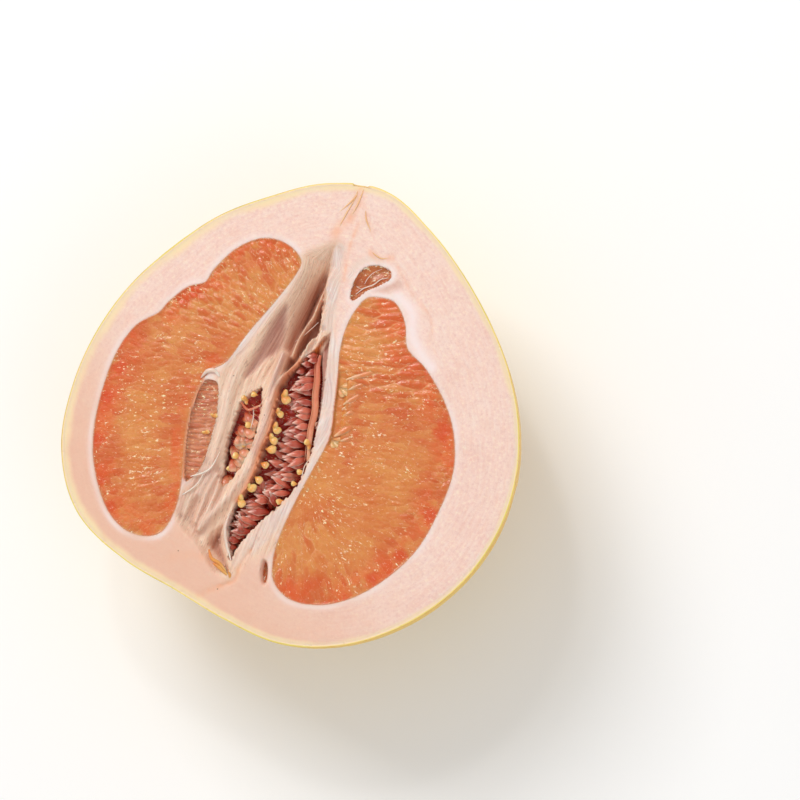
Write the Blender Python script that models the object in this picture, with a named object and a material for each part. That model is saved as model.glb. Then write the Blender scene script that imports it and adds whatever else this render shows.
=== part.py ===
"""Half of a red-fleshed pomelo, cut from stem to blossom end, lying on its rounded back.

Metres, +Z up. +Y points to the stem end and +X to the right on the cut face, which is level
and faces up. The origin is the middle of the small flat spot that the fruit rests on.
Lists of outline points and the dimensions beside them are in millimetres.
"""

import math
import random

import bmesh
import bpy
from mathutils import Vector, noise

MM = 0.001

# The fruit's body. The rim is the cut face's outline, as radii every 15 degrees from +X.
RIM_RADII = [
    78.5, 75, 72, 70.5, 71.5, 75, 80, 78.5, 75, 74, 73.5, 75.5,
    78.5, 82.5, 87, 88, 83, 78.5, 79.5, 83.5, 85, 84.5, 83.5, 81.5,
]
FACE_HEIGHT = 73.0
WIDEST_BELOW_FACE = 4.0
REST_SPOT_DEPTH = 1.0
DOME_DEPTH = FACE_HEIGHT - WIDEST_BELOW_FACE + REST_SPOT_DEPTH
LOWEST_POINT = (-1.0, -7.0)
RIM_POINTS = 60
DOME_RINGS = 12

SKIN_THICKNESS = 1.6
CLEARANCE = 0.3
STEM_SCAR = (-8.5, 79.6)
STEM_SCAR_RADIUS = 2.6

# The two segments that the knife opened, and their pockets in the pith.
LEFT_FLESH = [
    (-19.5, 47.5), (-19, 42), (-22.5, 30.5), (-27.5, 17), (-31, 5), (-35.5, 0), (-37.5, -6),
    (-37.5, -16), (-35, -27), (-31.5, -38.5), (-29.5, -49), (-31, -58), (-36.5, -62),
    (-44.5, -62), (-53, -57), (-61.5, -46), (-66.5, -34), (-69, -19), (-69, -5), (-66, 6),
    (-60, 13), (-58, 18), (-53.5, 25), (-48.5, 28.5), (-47, 34), (-42.5, 43), (-35.5, 49.5),
    (-27, 51),
]
RIGHT_FLESH = [
    (6.5, 41.5), (4, 32.5), (4.5, 23), (7, 13.5), (9.5, 3.5), (12, -8), (10.5, -20.5),
    (9, -31), (8, -44), (8.5, -53), (11.5, -61), (19, -65), (29, -63.5), (39, -57.5),
    (48, -47), (54.5, -34), (57, -19.5), (57, -4.5), (52.5, 8), (45.5, 17.5), (35.5, 26),
    (27, 30.5), (23, 38.5), (17.5, 44), (11.5, 44),
]
LEFT_POCKET = [
    (-36, -4.5), (-32.5, -3), (-30, -9.5), (-28.8, -18.5), (-28.3, -27), (-27.5, -33),
    (-29.5, -38), (-30.6, -36), (-34, -25.5), (-36.3, -15),
]
TOP_POCKET = [
    (2.5, 44.5), (1.3, 48), (3.5, 52.5), (7.5, 54), (13, 53), (16.5, 51), (14.5, 48.5),
    (10, 47), (6, 46),
]
BOTTOM_HOLE = [(5.2, -55.5), (6.4, -57), (7, -60.5), (6.6, -63.5), (5, -62.5), (4, -59)]
CORE_LINE_X = -8.5
FLESH_DEPTH_AT_CORE = 4.0
FLESH_DEPTH_SLOPE = 0.27
FLESH_EDGE_ROUNDING = 4.0
POCKET_DEPTH = 9.0
POCKET_FILL_TOP = 2.0
POCKET_FILL_BOTTOM = 8.0
OUTLINE_SPACING = 3.0
RELIEF_CELL = 2.3
RELIEF_HEIGHT = 0.55
SAC_LENGTH_IN_FLESH = 8.0
SAC_WIDTH_IN_FLESH = 3.6
INNER_EDGE_DIP = 2.6

# The torn core: an open cavity with slanting walls.
CAVITY_RIM = [
    (-10, 56), (-8.5, 47), (-5.5, 37), (-0.5, 26), (4, 12), (6.5, -3), (7.2, -20), (5.2, -35),
    (0.5, -47), (-4, -57), (-3.5, -66), (-9.5, -62), (-14, -55), (-19, -45), (-21.5, -32),
    (-22, -18), (-24, -6), (-27, 4), (-24.5, 16), (-20.5, 29), (-16.5, 43), (-13.5, 52),
]
CAVITY_FLOOR = [
    (-10.5, 50), (-9.5, 44), (-8, 35), (-5, 25), (-1, 12), (2.5, -3), (3.5, -18), (1.5, -31),
    (-3, -41), (-6.5, -50), (-6.5, -58), (-8.5, -57), (-11, -51), (-14.5, -42), (-17.5, -30),
    (-18.5, -17), (-18.5, -5), (-15, 5), (-12.5, 15), (-11.5, 27), (-11.5, 37), (-11, 45),
]
CAVITY_DEPTH = 18.0

# Membranes that still span the cavity: (x, y, depth, half width, half thickness) along each.
MIDDLE_STRAND = [
    (-20.5, 24, 6.5, 3, 1.3), (-16, 12, 4.5, 3.2, 1.2), (-13.3, 0, 3.2, 2.4, 1.1),
    (-12.2, -12, 2.8, 2.1, 1.1), (-11.7, -25, 2.8, 2.2, 1.1), (-14, -39, 2.8, 3, 1.2),
    (-18.5, -52, 3.2, 4, 1.4),
]
SLIT_STRAND = [
    (-7.2, 46, 3.2, 1.2, 1), (-10.2, 37, 7, 1.3, 1), (-13, 26, 8, 1.5, 1),
    (-17.5, 16, 7.5, 1.6, 1), (-23, 10, 5, 1.8, 1.2),
]
WEDGE_STRAND = [
    (2.5, 27, 2, 1.3, 1), (-4, 20.5, 3.5, 1.6, 0.9), (-9, 13.5, 4.8, 1.6, 0.9),
    (-14, 4, 4, 1.8, 1),
]
PEACH_STRAND = [
    (1.8, 22, 6, 0.8, 1.5), (1, 12, 5.4, 0.9, 1.8), (2.4, 1, 5.2, 0.9, 1.8),
    (4, -10, 5.2, 0.9, 1.8), (7.6, -23, 5, 0.8, 1.4),
]
STRAND_SIDES = 8
STRAND_STATIONS = 14

# What shows in the cavity: the juice sacs of the segment below, and rows of seeds that never grew.
SAC_BED = [
    (-1, 8), (2, -5), (3, -18), (1, -30), (-4, -41), (-7.5, -49), (-10.5, -48), (-14, -40),
    (-16.5, -29), (-17.5, -17), (-17, -5), (-11, 6),
]
SAC_BED_TOP = 14.0
SAC_BED_BOTTOM = 17.5
SAC_ROW_SPACING = 3.7
SAC_RADIUS = 1.45
SAC_LENGTH = 6.6
SAC_SIDES = 5
SAC_LEAN_ROOM = 1.6
SEED_LENGTH = 4.4
SEED_RADIUS = 1.3
SEED_SIDES = 6
SEED_CORD_RADIUS = 0.55
SEED_ROWS = {
    "seeds_middle": ([(-9.6, 1), (-9.2, -10), (-8, -20), (-7.6, -29), (-9.6, -38)], 8.4, 8, 1),
    "seeds_left": ([(-19.4, -4), (-17.6, -13), (-17, -22), (-17.6, -31)], 8.4, 6, 1),
    "seeds_right": ([(3.6, -11), (3.6, -20), (2, -29), (-1.6, -38)], 9, 4, -1),
    "seeds_flesh_edge": ([(9.9, 10), (12.2, 1), (14.6, -8), (13.2, -17), (12.2, -26)], 1.3, 5, 1),
}
RANDOM_SEED = 7

# Plain colours, by material: (red, green, blue), roughness.
COLOURS = {
    "skin": ((0.86, 0.62, 0.16), 0.42),
    "pith": ((0.90, 0.66, 0.58), 0.8),
    "flesh": ((0.80, 0.26, 0.09), 0.3),
    "sacs": ((0.52, 0.16, 0.14), 0.28),
    "pale_sacs": ((0.62, 0.25, 0.14), 0.28),
    "seeds": ((0.82, 0.50, 0.16), 0.5),
}


def clear_scene():
    """Removes what the startup file put in the scene."""
    for obj in list(bpy.data.objects):
        bpy.data.objects.remove(obj)


def material(name):
    """The plain material of that name, made once."""
    found = bpy.data.materials.get(name)
    if found:
        return found
    made = bpy.data.materials.new(name)
    made.use_nodes = True
    colour, roughness = COLOURS[name]
    shader = made.node_tree.nodes["Principled BSDF"]
    shader.inputs["Base Color"].default_value = (*colour, 1)
    shader.inputs["Roughness"].default_value = roughness
    shader.inputs["Metallic"].default_value = 0
    made.diffuse_color = (*colour, 1)
    return made


def spline(p0, p1, p2, p3, t):
    """Catmull-Rom value between p1 and p2, for numbers or tuples of numbers."""
    if isinstance(p0, tuple):
        return tuple(spline(*values, t) for values in zip(p0, p1, p2, p3))
    bend = 2 * p0 - 5 * p1 + 4 * p2 - p3
    turn = 3 * p1 - 3 * p2 + p3 - p0
    return p1 + 0.5 * ((p2 - p0) * t + bend * t * t + turn * t**3)


def on_closed_line(points, place):
    """The value of a smooth closed line at a place counted in points."""
    count = len(points)
    start = math.floor(place)
    four = (points[(start + k) % count] for k in (-1, 0, 1, 2))
    return spline(*four, place - start)


def on_open_line(points, share):
    """The value of a smooth open line at a share of the way along it."""
    last = len(points) - 1
    start = min(int(share * last), last - 1)
    four = (points[min(max(start + k, 0), last)] for k in (-1, 0, 1, 2))
    return spline(*four, share * last - start)


def smooth_outline(points, spacing=OUTLINE_SPACING):
    """A closed outline through the points, with about one point every spacing millimetres."""
    length = sum(math.dist(a, b) for a, b in zip(points, points[1:] + points[:1]))
    count = max(12, round(length / spacing))
    return [on_closed_line(points, i * len(points) / count) for i in range(count)]


def grown(outline, distance):
    """The outline moved outwards by a distance, or inwards where it is negative."""
    count = len(outline)
    area = sum(
        a[0] * b[1] - a[1] * b[0] for a, b in zip(outline, outline[1:] + outline[:1])
    )
    turn = 1 if area > 0 else -1
    moved = []
    for i, (x, y) in enumerate(outline):
        before, after = outline[i - 1], outline[(i + 1) % count]
        along = Vector((after[0] - before[0], after[1] - before[1])).normalized()
        moved.append((x + turn * along.y * distance, y - turn * along.x * distance))
    return moved


def level_ring(outline, depth):
    """A ring of points at a depth under the cut face."""
    return [Vector((x, y, FACE_HEIGHT - depth)) * MM for x, y in outline]


def loft(name, rings, look):
    """A closed solid through rings of as many points each, made by extruding its end face."""
    mesh = bpy.data.meshes.new(name)
    bm = bmesh.new()
    end = bm.faces.new([bm.verts.new(point) for point in rings[0]])
    for step, ring in enumerate(rings[1:]):
        made = bmesh.ops.extrude_face_region(bm, geom=[end])["geom"]
        if step > 0:
            bmesh.ops.delete(bm, geom=[end], context="FACES_ONLY")
        end = next(item for item in made if isinstance(item, bmesh.types.BMFace))
        for vert, point in zip(end.verts, ring):
            vert.co = point
    bmesh.ops.recalc_face_normals(bm, faces=bm.faces)
    bm.to_mesh(mesh)
    bm.free()
    obj = bpy.data.objects.new(name, mesh)
    obj.data.materials.append(material(look))
    bpy.context.scene.collection.objects.link(obj)
    return obj


def combine(target, operation, other, solver="EXACT"):
    """Adds a Boolean with another object, which is then a hidden helper."""
    boolean = target.modifiers.new(f"{operation.lower()} {other.name}", "BOOLEAN")
    boolean.operation = operation
    boolean.solver = solver
    boolean.object = other
    other.hide_render = True
    other.display_type = "WIRE"


def bake_modifiers(obj):
    """Replaces the object's mesh by what its modifiers make of it."""
    bpy.context.view_layer.update()
    graph = bpy.context.evaluated_depsgraph_get()
    made = bpy.data.meshes.new_from_object(obj.evaluated_get(graph))
    obj.modifiers.clear()
    obj.data = made


def fuse(base, pieces):
    """Joins many pieces into the base by one Boolean union, and removes them."""
    group = bpy.data.collections.new(base.name + "_pieces")
    bpy.context.scene.collection.children.link(group)
    for piece in pieces:
        bpy.context.scene.collection.objects.unlink(piece)
        group.objects.link(piece)
    join = base.modifiers.new("join", "BOOLEAN")
    join.operation = "UNION"
    join.solver = "MANIFOLD"
    join.operand_type = "COLLECTION"
    join.collection = group
    bake_modifiers(base)
    for piece in pieces:
        bpy.data.objects.remove(piece)
    bpy.data.collections.remove(group)
    return base


def smooth_shading(obj, degrees=40):
    """Shades the round surfaces smooth and keeps the edges sharp."""
    obj.data.shade_smooth()
    obj.data.set_sharp_from_angle(angle=math.radians(degrees))


def body_point(angle, tilt, inset):
    """A point of the fruit's outside, inset from it. Tilt 0 is the lowest point."""
    reach = on_closed_line(RIM_RADII, angle / math.tau * len(RIM_RADII)) - inset
    share = math.sin(tilt) / math.sin(rim_tilt(0))
    x = LOWEST_POINT[0] * (1 - share) + reach * math.cos(angle) * share
    y = LOWEST_POINT[1] * (1 - share) + reach * math.sin(angle) * share
    z = FACE_HEIGHT - WIDEST_BELOW_FACE - (DOME_DEPTH - inset) * math.cos(tilt)
    return Vector((x, y, z)) * MM


def rim_tilt(inset):
    """The tilt at which the inset body meets the cut face."""
    return math.pi / 2 + math.asin(WIDEST_BELOW_FACE / (DOME_DEPTH - inset))


def body_solid(name, inset, look, above=0.0):
    """The half fruit's body, inset all round, from its flat spot to the cut face or above it."""
    angles = [math.tau * i / RIM_POINTS for i in range(RIM_POINTS)]
    spot_tilt = math.acos(1 - REST_SPOT_DEPTH / (DOME_DEPTH - inset))
    rings = []
    for ring in range(DOME_RINGS + 1):
        tilt = spot_tilt + (rim_tilt(inset) - spot_tilt) * ring / DOME_RINGS
        rings.append([body_point(angle, tilt, inset) for angle in angles])
    if above:
        rings.append([point + Vector((0, 0, above * MM)) for point in rings[-1]])
    return loft(name, rings, look)


def make_skin():
    """The thin yellow skin, a bowl round the pith, with the scar of the stem in its rim."""
    skin = body_solid("skin", 0, "skin")
    hollow = body_solid("skin_hollow", SKIN_THICKNESS, "skin", above=2)
    combine(skin, "DIFFERENCE", hollow)
    combine(skin, "DIFFERENCE", stem_scar("skin_scar", 0))
    smooth_shading(skin)


def stem_scar(name, clearance):
    """A round cutter for the dimple where the stem came off."""
    x, y = STEM_SCAR
    radius = STEM_SCAR_RADIUS + clearance
    bm = bmesh.new()
    bmesh.ops.create_uvsphere(bm, u_segments=12, v_segments=8, radius=radius * MM)
    bmesh.ops.translate(bm, verts=bm.verts, vec=Vector((x, y, FACE_HEIGHT)) * MM)
    mesh = bpy.data.meshes.new(name)
    bm.to_mesh(mesh)
    bm.free()
    obj = bpy.data.objects.new(name, mesh)
    bpy.context.scene.collection.objects.link(obj)
    return obj


def flesh_depth(x):
    """How deep a segment reaches under the cut face, which grows away from the core."""
    return FLESH_DEPTH_AT_CORE + FLESH_DEPTH_SLOPE * abs(x - CORE_LINE_X)


def flesh_body(name, outline, clearance, above):
    """A segment's own form: its outline on the cut face, rounded off towards its slanting bottom."""
    base = grown(smooth_outline(outline), clearance)
    rings = [level_ring(base, -above)]
    for share in (0.0, 0.45, 0.8, 1.0):
        inset = FLESH_EDGE_ROUNDING * (1 - math.sqrt(1 - share**2))
        ring = grown(base, -inset)
        rings.append(
            [
                Vector((x, y, FACE_HEIGHT - share * flesh_depth(x) - clearance)) * MM
                for x, y in ring
            ]
        )
    return loft(name, rings, "flesh")


def sac_relief(x, y, leaning):
    """Height of the sacs on the flesh at a point, as rounded cells drawn out along their lean."""
    angle = math.radians(leaning)
    along = x * math.cos(angle) + y * math.sin(angle)
    across = y * math.cos(angle) - x * math.sin(angle)
    place = Vector((along / SAC_LENGTH_IN_FLESH, across / SAC_WIDTH_IN_FLESH, 0))
    nearest = noise.voronoi(place)[0][0]
    return RELIEF_HEIGHT * (0.5 - min(nearest, 1))


def relief_slab(name, outline, leaning, dip_line):
    """A block whose top carries the sacs' relief, and dips beside the core where a line is given."""
    xs, ys = [p[0] for p in outline], [p[1] for p in outline]
    middle = ((min(xs) + max(xs)) / 2, (min(ys) + max(ys)) / 2)
    half = (max(xs) - min(xs)) / 2 + 2, (max(ys) - min(ys)) / 2 + 2
    counts = [math.ceil(2 * side / RELIEF_CELL) for side in half]
    bm = bmesh.new()
    bmesh.ops.create_grid(bm, x_segments=counts[0], y_segments=counts[1], size=1)
    for vert in bm.verts:
        x = middle[0] + vert.co.x * half[0]
        y = middle[1] + vert.co.y * half[1]
        height = sac_relief(x, y, leaning) - 0.2
        if dip_line:
            nearest = min(math.dist((x, y), point) for point in dip_line)
            height -= INNER_EDGE_DIP * min(1, max(0, 1.7 - nearest / 6))
        vert.co = Vector((x, y, FACE_HEIGHT + height)) * MM
    made = bmesh.ops.extrude_face_region(bm, geom=bm.faces[:])["geom"]
    for item in made:
        if isinstance(item, bmesh.types.BMVert):
            item.co.z = (FACE_HEIGHT - 40) * MM
    bmesh.ops.recalc_face_normals(bm, faces=bm.faces)
    mesh = bpy.data.meshes.new(name)
    bm.to_mesh(mesh)
    bm.free()
    obj = bpy.data.objects.new(name, mesh)
    bpy.context.scene.collection.objects.link(obj)
    return obj


def make_flesh(name, outline, leaning, dip_line=None):
    """One opened segment, its cut sacs standing in relief."""
    flesh = flesh_body(name, outline, 0, above=2)
    slab = relief_slab(name + "_relief", outline, leaning, dip_line)
    combine(flesh, "INTERSECT", slab)
    smooth_shading(flesh, 55)


def pocket_body(name, outline, inset, top, bottom, look):
    """A small pocket's form between two depths."""
    base = grown(smooth_outline(outline, 2.4), -inset)
    rings = [level_ring(base, top), level_ring(grown(base, -0.3), bottom)]
    return loft(name, rings, look)


def strand(name, stations):
    """One torn membrane: a flat rounded ribbon along a smooth line, its ends sunk in the pith."""
    rings = []
    for step in range(STRAND_STATIONS + 1):
        share = step / STRAND_STATIONS
        x, y, depth, half_width, half_thickness = on_open_line(stations, share)
        before = on_open_line(stations, max(share - 0.02, 0))
        after = on_open_line(stations, min(share + 0.02, 1))
        along = Vector((after[0] - before[0], after[1] - before[1], 0)).normalized()
        side = Vector((along.y, -along.x, 0)) * half_width
        up = Vector((0, 0, half_thickness))
        middle = Vector((x, y, FACE_HEIGHT - depth))
        turns = [math.tau * i / STRAND_SIDES for i in range(STRAND_SIDES)]
        rings.append([(middle + side * math.cos(a) + up * math.sin(a)) * MM for a in turns])
    return loft(name, rings, "pith")


def cavity_cutter():
    """The torn core's hollow, from above the cut face down to its floor."""
    count = round(len(CAVITY_RIM) * 2)
    steps = [i * len(CAVITY_RIM) / count for i in range(count)]
    rim = [on_closed_line(CAVITY_RIM, place) for place in steps]
    floor = [on_closed_line(CAVITY_FLOOR, place) for place in steps]
    rings = [level_ring(rim, -2), level_ring(rim, 0), level_ring(floor, CAVITY_DEPTH)]
    return loft("cavity", rings, "pith")


def make_pith():
    """The thick pink pith, with its pockets, the torn core and the membranes across it."""
    pith = body_solid("pith", SKIN_THICKNESS + CLEARANCE, "pith")
    combine(pith, "DIFFERENCE", flesh_body("left_room", LEFT_FLESH, CLEARANCE, above=3))
    combine(pith, "DIFFERENCE", flesh_body("right_room", RIGHT_FLESH, CLEARANCE, above=3))
    combine(pith, "DIFFERENCE", cavity_cutter())
    for name, outline in (
        ("left_pocket", LEFT_POCKET),
        ("top_pocket", TOP_POCKET),
        ("bottom_hole", BOTTOM_HOLE),
    ):
        cutter = pocket_body(name, outline, 0, -2, POCKET_DEPTH, "pith")
        combine(pith, "DIFFERENCE", cutter)
    combine(pith, "DIFFERENCE", stem_scar("pith_scar", CLEARANCE))
    for name, stations in (
        ("middle_strand", MIDDLE_STRAND),
        ("slit_strand", SLIT_STRAND),
        ("wedge_strand", WEDGE_STRAND),
        ("peach_strand", PEACH_STRAND),
    ):
        combine(pith, "UNION", strand(name, stations))
    smooth_shading(pith)


def drop(name, root, direction, length, radius, sides, look, flat=1.0):
    """One juice sac or seed: narrow at its root, fullest past its middle and blunt at its tip."""
    axis = Vector(direction).normalized()
    side = axis.orthogonal().normalized()
    other = axis.cross(side) * flat
    rings = []
    for share, fullness in ((0, 0.35), (0.35, 0.85), (0.7, 1.0), (1.0, 0.35)):
        middle = Vector(root) + axis * length * share
        turns = [math.tau * i / sides for i in range(sides)]
        reach = radius * fullness
        rings.append(
            [
                (middle + side * reach * math.cos(a) + other * reach * math.sin(a)) * MM
                for a in turns
            ]
        )
    return loft(name, rings, look)


def bed_edges(y):
    """The sac bed's left and right sides at a place along the core."""
    outline = smooth_outline(SAC_BED)
    crossings = []
    for a, b in zip(outline, outline[1:] + outline[:1]):
        if (a[1] - y) * (b[1] - y) < 0:
            crossings.append(a[0] + (b[0] - a[0]) * (y - a[1]) / (b[1] - a[1]))
    return min(crossings), max(crossings)


def make_inner_sacs():
    """The segment below, seen through the torn core: a bed with rows of whole juice sacs on it."""
    draw = random.Random(RANDOM_SEED)
    bed_outline = smooth_outline(SAC_BED)
    rings = [
        level_ring(bed_outline, SAC_BED_TOP),
        level_ring(grown(bed_outline, -0.8), SAC_BED_BOTTOM),
    ]
    bed = loft("inner_sacs", rings, "sacs")
    sacs = []
    rows = int(49 / SAC_ROW_SPACING)
    for row in range(rows + 1):
        y = 4.5 - row * SAC_ROW_SPACING
        left, right = bed_edges(y)
        columns = max(2, round((right - left) / 4.2))
        for column in range(columns):
            share = (column + 0.5 + 0.25 * (row % 2)) / columns
            x = left + SAC_LEAN_ROOM + (right - left - SAC_LEAN_ROOM) * min(share, 0.93)
            x += draw.uniform(-0.3, 0.3)
            root = (x, y + draw.uniform(-0.5, 0.5), FACE_HEIGHT - SAC_BED_TOP - 1.2)
            lean = (-0.45 + draw.uniform(-0.1, 0.1), -0.35 + draw.uniform(-0.15, 0.15), 0.62)
            size = draw.uniform(0.9, 1.08)
            sacs.append(
                drop("sac", root, lean, SAC_LENGTH * size, SAC_RADIUS * size, SAC_SIDES, "sacs")
            )
    fuse(bed, sacs)
    smooth_shading(bed, 50)


def make_seed_row(name, line, depth, count, towards):
    """A row of flat undeveloped seeds on the thin cord that fed them."""
    draw = random.Random(name)
    rings = []
    stations = 12
    for step in range(stations + 1):
        x, y = on_open_line(line, step / stations)
        turns = [math.tau * i / 6 for i in range(6)]
        rings.append(
            [
                Vector(
                    (
                        x + SEED_CORD_RADIUS * math.cos(a),
                        y,
                        FACE_HEIGHT - depth + SEED_CORD_RADIUS * math.sin(a),
                    )
                )
                * MM
                for a in turns
            ]
        )
    cord = loft(name, rings, "seeds")
    seeds = []
    for i in range(count):
        x, y = on_open_line(line, (i + 0.5) / count)
        lean = (towards, draw.uniform(-0.7, 0.1), draw.uniform(-0.05, 0.05))
        length = SEED_LENGTH * draw.uniform(0.75, 0.95)
        root = (x - 0.25 * towards, y, FACE_HEIGHT - depth)
        seeds.append(drop("seed", root, lean, length, SEED_RADIUS, SEED_SIDES, "seeds", 0.6))
    fuse(cord, seeds)
    smooth_shading(cord, 50)


def make_pocket_fill(name, outline, look):
    """The sacs that fill a small pocket, a little under the cut face."""
    inset = CLEARANCE + 0.3
    fill = pocket_body(name, outline, inset, POCKET_FILL_TOP, POCKET_FILL_BOTTOM, look)
    smooth_shading(fill)


def main():
    clear_scene()
    make_skin()
    make_pith()
    make_flesh("flesh_left", LEFT_FLESH, -12)
    edge = [on_open_line(SEED_ROWS["seeds_flesh_edge"][0], i / 10) for i in range(11)]
    make_flesh("flesh_right", RIGHT_FLESH, 12, edge)
    make_inner_sacs()
    make_pocket_fill("sacs_left_pocket", LEFT_POCKET, "pale_sacs")
    make_pocket_fill("sacs_top_pocket", TOP_POCKET, "pale_sacs")
    for name, (line, depth, count, towards) in SEED_ROWS.items():
        make_seed_row(name, line, depth, count, towards)


main()
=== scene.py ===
# %% [markdown]
# # Half a pomelo, cut open
#
# The half lies on its rounded back with the cut face up. A thin yellow skin holds thick pink
# pith, and in the pith lie two orange segments, a torn core with rows of juice sacs, and small
# seeds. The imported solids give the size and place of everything. This notebook builds the fine
# surfaces over them, one part of the fruit at a time.

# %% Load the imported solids
import math

import bmesh
import bpy
import numpy as np
from mathutils import Matrix, Vector


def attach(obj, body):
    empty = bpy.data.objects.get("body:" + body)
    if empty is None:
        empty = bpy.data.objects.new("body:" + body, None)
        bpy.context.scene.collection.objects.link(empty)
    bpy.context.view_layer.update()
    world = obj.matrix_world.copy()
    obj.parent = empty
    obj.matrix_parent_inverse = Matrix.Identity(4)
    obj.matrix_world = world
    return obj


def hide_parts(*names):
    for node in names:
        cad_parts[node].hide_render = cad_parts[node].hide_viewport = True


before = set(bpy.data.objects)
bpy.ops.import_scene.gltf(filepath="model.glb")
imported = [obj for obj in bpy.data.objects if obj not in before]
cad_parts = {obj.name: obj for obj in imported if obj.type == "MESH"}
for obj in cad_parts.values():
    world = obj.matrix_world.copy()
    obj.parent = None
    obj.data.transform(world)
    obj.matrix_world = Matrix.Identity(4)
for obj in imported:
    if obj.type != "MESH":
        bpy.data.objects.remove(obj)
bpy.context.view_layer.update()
print("solids:", ", ".join(sorted(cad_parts)))

# %% [markdown]
# ## The fruit's own measures
#
# Every outline here is in millimetres on the cut face: +Y towards the stem, +X to the right, and
# height 0 at the cut. A fruit is never round, so its rim is a list of radii, one every 15
# degrees, with a smooth curve drawn through them.

# %% Measures of the fruit
MM = 0.001
FACE = 73.0
WIDEST_BELOW_FACE = 4.0
REST_SPOT_DEPTH = 1.0
DOME_DEPTH = FACE - WIDEST_BELOW_FACE + REST_SPOT_DEPTH
LOWEST_POINT = np.array([-1.0, -7.0])
CORE = np.array([-7.0, -4.0])
SKIN = 1.6
RIM_RADII = np.array([
    78.5, 75, 72, 70.5, 71.5, 75, 80, 78.5, 75, 74, 73.5, 75.5,
    78.5, 82.5, 87, 88, 83, 78.5, 79.5, 83.5, 85, 84.5, 83.5, 81.5,
])

# %% Outlines on the cut face
LEFT_FLESH = [
    (-19.5, 47.5), (-19, 42), (-22.5, 30.5), (-27.5, 17), (-31, 5), (-35.2, 0), (-36.9, -6),
    (-37.0, -14.5), (-35.2, -24.5), (-31.2, -38.5), (-29.5, -49), (-31, -58), (-36.5, -62),
    (-44.5, -62), (-53, -57), (-61.5, -46), (-66.5, -34), (-69, -19), (-69, -5), (-66, 6),
    (-60, 13), (-58, 18), (-53.5, 25), (-48.5, 28.5), (-47, 34), (-42.5, 43), (-35.5, 49.5),
    (-27, 51),
]
RIGHT_FLESH = [
    (6.5, 41.5), (4, 32.5), (4.5, 23), (7, 13.5), (9.5, 3.5), (12, -8), (10.5, -20.5),
    (9, -31), (8, -44), (8.5, -53), (11.5, -61), (19, -65), (29, -63.5), (39, -57.5),
    (48, -47), (54.5, -34), (57, -19.5), (57, -4.5), (52.5, 8), (45.5, 17.5), (35.5, 26),
    (27, 30.5), (23, 38.5), (17.5, 44), (11.5, 44),
]
LEFT_RIND_SIDE = LEFT_FLESH[12:28]
RIGHT_RIND_SIDE = RIGHT_FLESH[11:25]
LEFT_POCKET = [
    (-36.2, -4.6), (-34, -2.9), (-31.3, -3.6), (-29.2, -9), (-27.5, -15.6), (-26.8, -23.1),
    (-26.4, -32), (-28.8, -38.4), (-30.4, -38), (-33, -30.6), (-35.5, -21.4), (-36.7, -13),
]
TOP_POCKET = [
    (1.6, 40.8), (1, 45.2), (2.3, 51.2), (6.6, 54), (11.4, 53.9), (12.4, 51.4), (9.4, 47.6),
    (6.2, 44.6), (4, 41), (2.8, 39.8),
]
TOP_VEIL = [
    (7.5, 45.2), (10.5, 47.6), (13.4, 50.2), (15, 52.4), (17, 51.8), (17.8, 49.6), (14.6, 46.8),
    (10.5, 45.2),
]
BOTTOM_HOLE = [(5.4, -55.5), (6.8, -55), (8.4, -57), (9.6, -61), (9, -64), (7.2, -62.5), (5.7, -59)]

# %% Outlines in the torn core
WALL_LEFT = [
    (56, -12), (49, -20.2), (44, -19.1), (38, -19.9), (33.4, -20.8), (25.4, -23.8),
    (17.7, -26), (11.8, -28), (8, -30.1), (2.7, -31.5), (-6, -31.5), (-20, -29), (-66, -29),
]
SLIT_BOTTOM = [
    (56, -10.2), (50, -10.4), (44, -10.8), (37, -11.2), (28, -11.6), (20, -11.8),
    (10, -11.6), (-66, -11.6),
]
SLIT = [
    (-10.2, 55.5), (-9.2, 49), (-7.6, 42.2), (-5.6, 34.8), (-4.4, 29.2), (-4.2, 25), (-6.5, 19),
    (-9.2, 12.5), (-11.2, 8.6), (-12.1, 12), (-12.4, 20), (-12.2, 28), (-11.7, 37),
    (-11, 45), (-10.7, 51),
]
WINDOW = [
    (-17.5, 1), (-20.6, -3.5), (-22.2, -7.1), (-22.2, -13), (-21.8, -20), (-20.4, -25.5),
    (-19.2, -31), (-18, -36.2), (-16.4, -35), (-14.5, -31), (-13.3, -26), (-12.6, -20),
    (-12.9, -13), (-14.6, -5), (-16.3, 0),
]
LOCULE = [
    (-10.8, 4), (-9.6, 9), (-7.4, 14), (-4.8, 19.5), (-2.6, 24.5), (-0.5, 26.6), (0.9, 22),
    (2.9, 12.6), (4.6, 4.2), (6, -3.6), (7.3, -10.2), (8.3, -17), (8.2, -22.8), (6.7, -29.9),
    (3.8, -37), (-0.9, -45), (-4.2, -54), (-4.8, -59.6), (-6.6, -58), (-9.2, -53.4),
    (-10.8, -48.6), (-11.2, -44), (-10.6, -39), (-9.4, -34.5), (-8.7, -27), (-9.1, -21.2),
    (-8.8, -13.9), (-9.8, -5.9), (-10.8, 0),
]
RECESS = [
    (-12.6, -47.6), (-16.2, -54), (-15, -58.6), (-9.8, -61.6), (-4.6, -65.4), (-3.8, -63),
    (-5.8, -60), (-9.6, -54.6), (-11.3, -49.4),
]
MAUVE_WINDOW = [
    (-17.8, 31), (-19.8, 30), (-21.7, 24.5), (-22.7, 18), (-23.4, 13), (-24.2, 8), (-24.6, 3),
    (-23.4, 1), (-20.4, 5.5), (-19, 9.6), (-16, 14), (-15.4, 19.5), (-16.3, 24.5),
]
STRAND_A = [
    (-27, 12), (-27.4, 4), (-27.2, -4), (-25.8, -13), (-24.4, -22), (-23.4, -32), (-24, -41),
]
STRAND_B = [
    (-13.8, 14), (-13.6, 5), (-12.6, -3), (-11.2, -12), (-10.9, -21), (-12, -31), (-15, -41),
    (-19, -51),
]
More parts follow.
